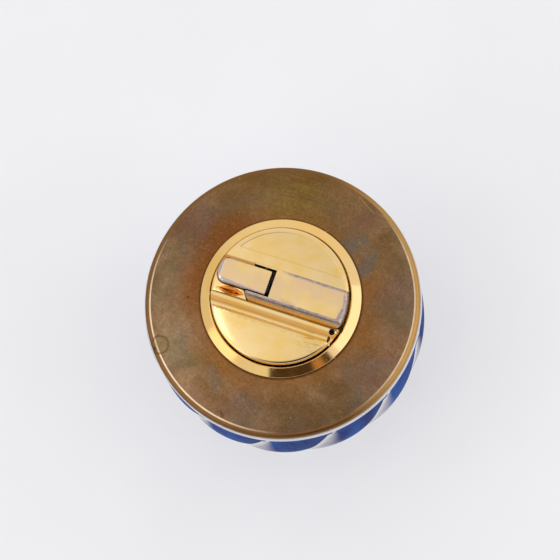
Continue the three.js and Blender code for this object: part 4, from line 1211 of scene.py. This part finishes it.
def surroundings():
    """A white tent, dimmer towards the horizon, with soft glows overhead and a dark shape in front."""
    world = bpy.data.worlds.new("tent")
    bpy.context.scene.world = world
    world.use_nodes = True
    graph = Graph(world.node_tree)
    background = graph.nodes.new("ShaderNodeBackground")
    graph.feed(graph.nodes.new("ShaderNodeOutputWorld").inputs[0], background.outputs[0])
    way = graph.nodes.new("ShaderNodeTexCoord").outputs["Generated"]
    split = graph.nodes.new("ShaderNodeSeparateXYZ")
    graph.feed(split.inputs[0], way)
    height = graph.nodes.new("ShaderNodeValToRGB")
    graph.feed(height.inputs[0], split.outputs[2])
    horizon, zenith = height.color_ramp.elements
    horizon.position, horizon.color = 0.0, (0.66, 0.64, 0.63, 1)
    zenith.position, zenith.color = 1.0, (0.84, 0.84, 0.85, 1)
    for position, level in ((0.16, 0.96), (0.6, 1.0)):
        height.color_ramp.elements.new(position).color = (level, level, level, 1)
    colour = height.outputs[0]
    shapes = (          # azimuth, elevation, radius of full strength, radius of none, colour
        (-170, 66, 8, 26, (1.1, 1.1, 1.1, 1)),
        (25, 66, 6, 24, (1.14, 1.1, 1.02, 1)),
        (178, 71, 3.5, 7, (2.3, 2.4, 2.8, 1)),
        (-98, 2, 13, 20, (0.3, 0.22, 0.15, 1)),
        (-57, 37, 24, 25.5, (0.075, 0.042, 0.022, 1)),
        (-40, 33, 1, 7, (0.6, 0.3, 0.1, 1)),
        (-66, 30, 1, 5, (0.34, 0.19, 0.08, 1)),
    )
    for azimuth, elevation, full, none, shade in shapes:
        cosine = graph.vector("DOT_PRODUCT", way, toward(azimuth, elevation))
        inside = graph.rise(cosine, math.cos(math.radians(none)), math.cos(math.radians(full)))
        colour = graph.mix(inside, colour, shade)
    graph.feed(background.inputs[0], colour)
    background.inputs[1].default_value = 1.0


def studio():
    surroundings()
    area_light("left_softbox", toward(-140, 45) * 1.2, 0.9, 1.5)
    area_light("right_softbox", toward(13, 38) * 1.2, 1.1, 1.35)
    view = bpy.context.scene.view_settings
    view.view_transform = "Standard"
    view.look = "None"


camera()
floor()
studio()
dress_inner_parts()
for build, body, slot, look in (
    (ceramic_body, "jar", "glaze", glaze()),
    (top_plate, "jar", "aged_brass", aged_brass()),
    (bezel_ring, "insert", "gold_plate", bezel_gold()),
    (rear_cover, "insert", "gold_plate", panelled_gold()),
    (front_cover, "insert", "gold_plate", channelled_gold()),
    (thumb_lever, "lever", "gold_plate", lever_gold()),
    (snuffer_cap, "cap", "gold_plate", cap_gold()),
    (base_felt, "jar", "felt", LOOKS["felt"]),
    (insert_well, "jar", "brass", LOOKS["brass"]),
    (mechanism_case, "insert", "brass", LOOKS["brass"]),
    (fuel_tank, "insert", "brass", LOOKS["brass"]),
    (grip_ring, "insert", "rubber", LOOKS["rubber"]),
    (flint_screw, "insert", "brass", LOOKS["brass"]),
    (fill_valve_body, "insert", "brass", LOOKS["brass"]),
    (fill_valve_stem, "fill_stem", "brass", LOOKS["brass"]),
    (flame_adjuster, "adjuster", "brass", LOOKS["brass"]),
    (wind_guard, "insert", "brass", LOOKS["brass"]),
    (valve_body, "insert", "brass", LOOKS["brass"]),
    (burner_jet, "jet", "brass", LOOKS["brass"]),
):
    fit(build(), body, build.__name__, look)
fit(coil("steel_flint_spring", FLINT_LINE, 0.95, 0.2, 8, PLATE_TOP - 33.5, PLATE_TOP - 12.8),
    "insert", "flint_spring", LOOKS["steel"])
spring_foot, spring_head = PLATE_TOP - 7.3, BAR_TOP - SHEET - 0.55
lever_spring = fit(coil("steel_lever_spring", LEVER_SPRING, 1.9, 0.25, 6, spring_foot, spring_head),
                   "insert", "lever_spring", LOOKS["steel"])
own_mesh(lever_spring)
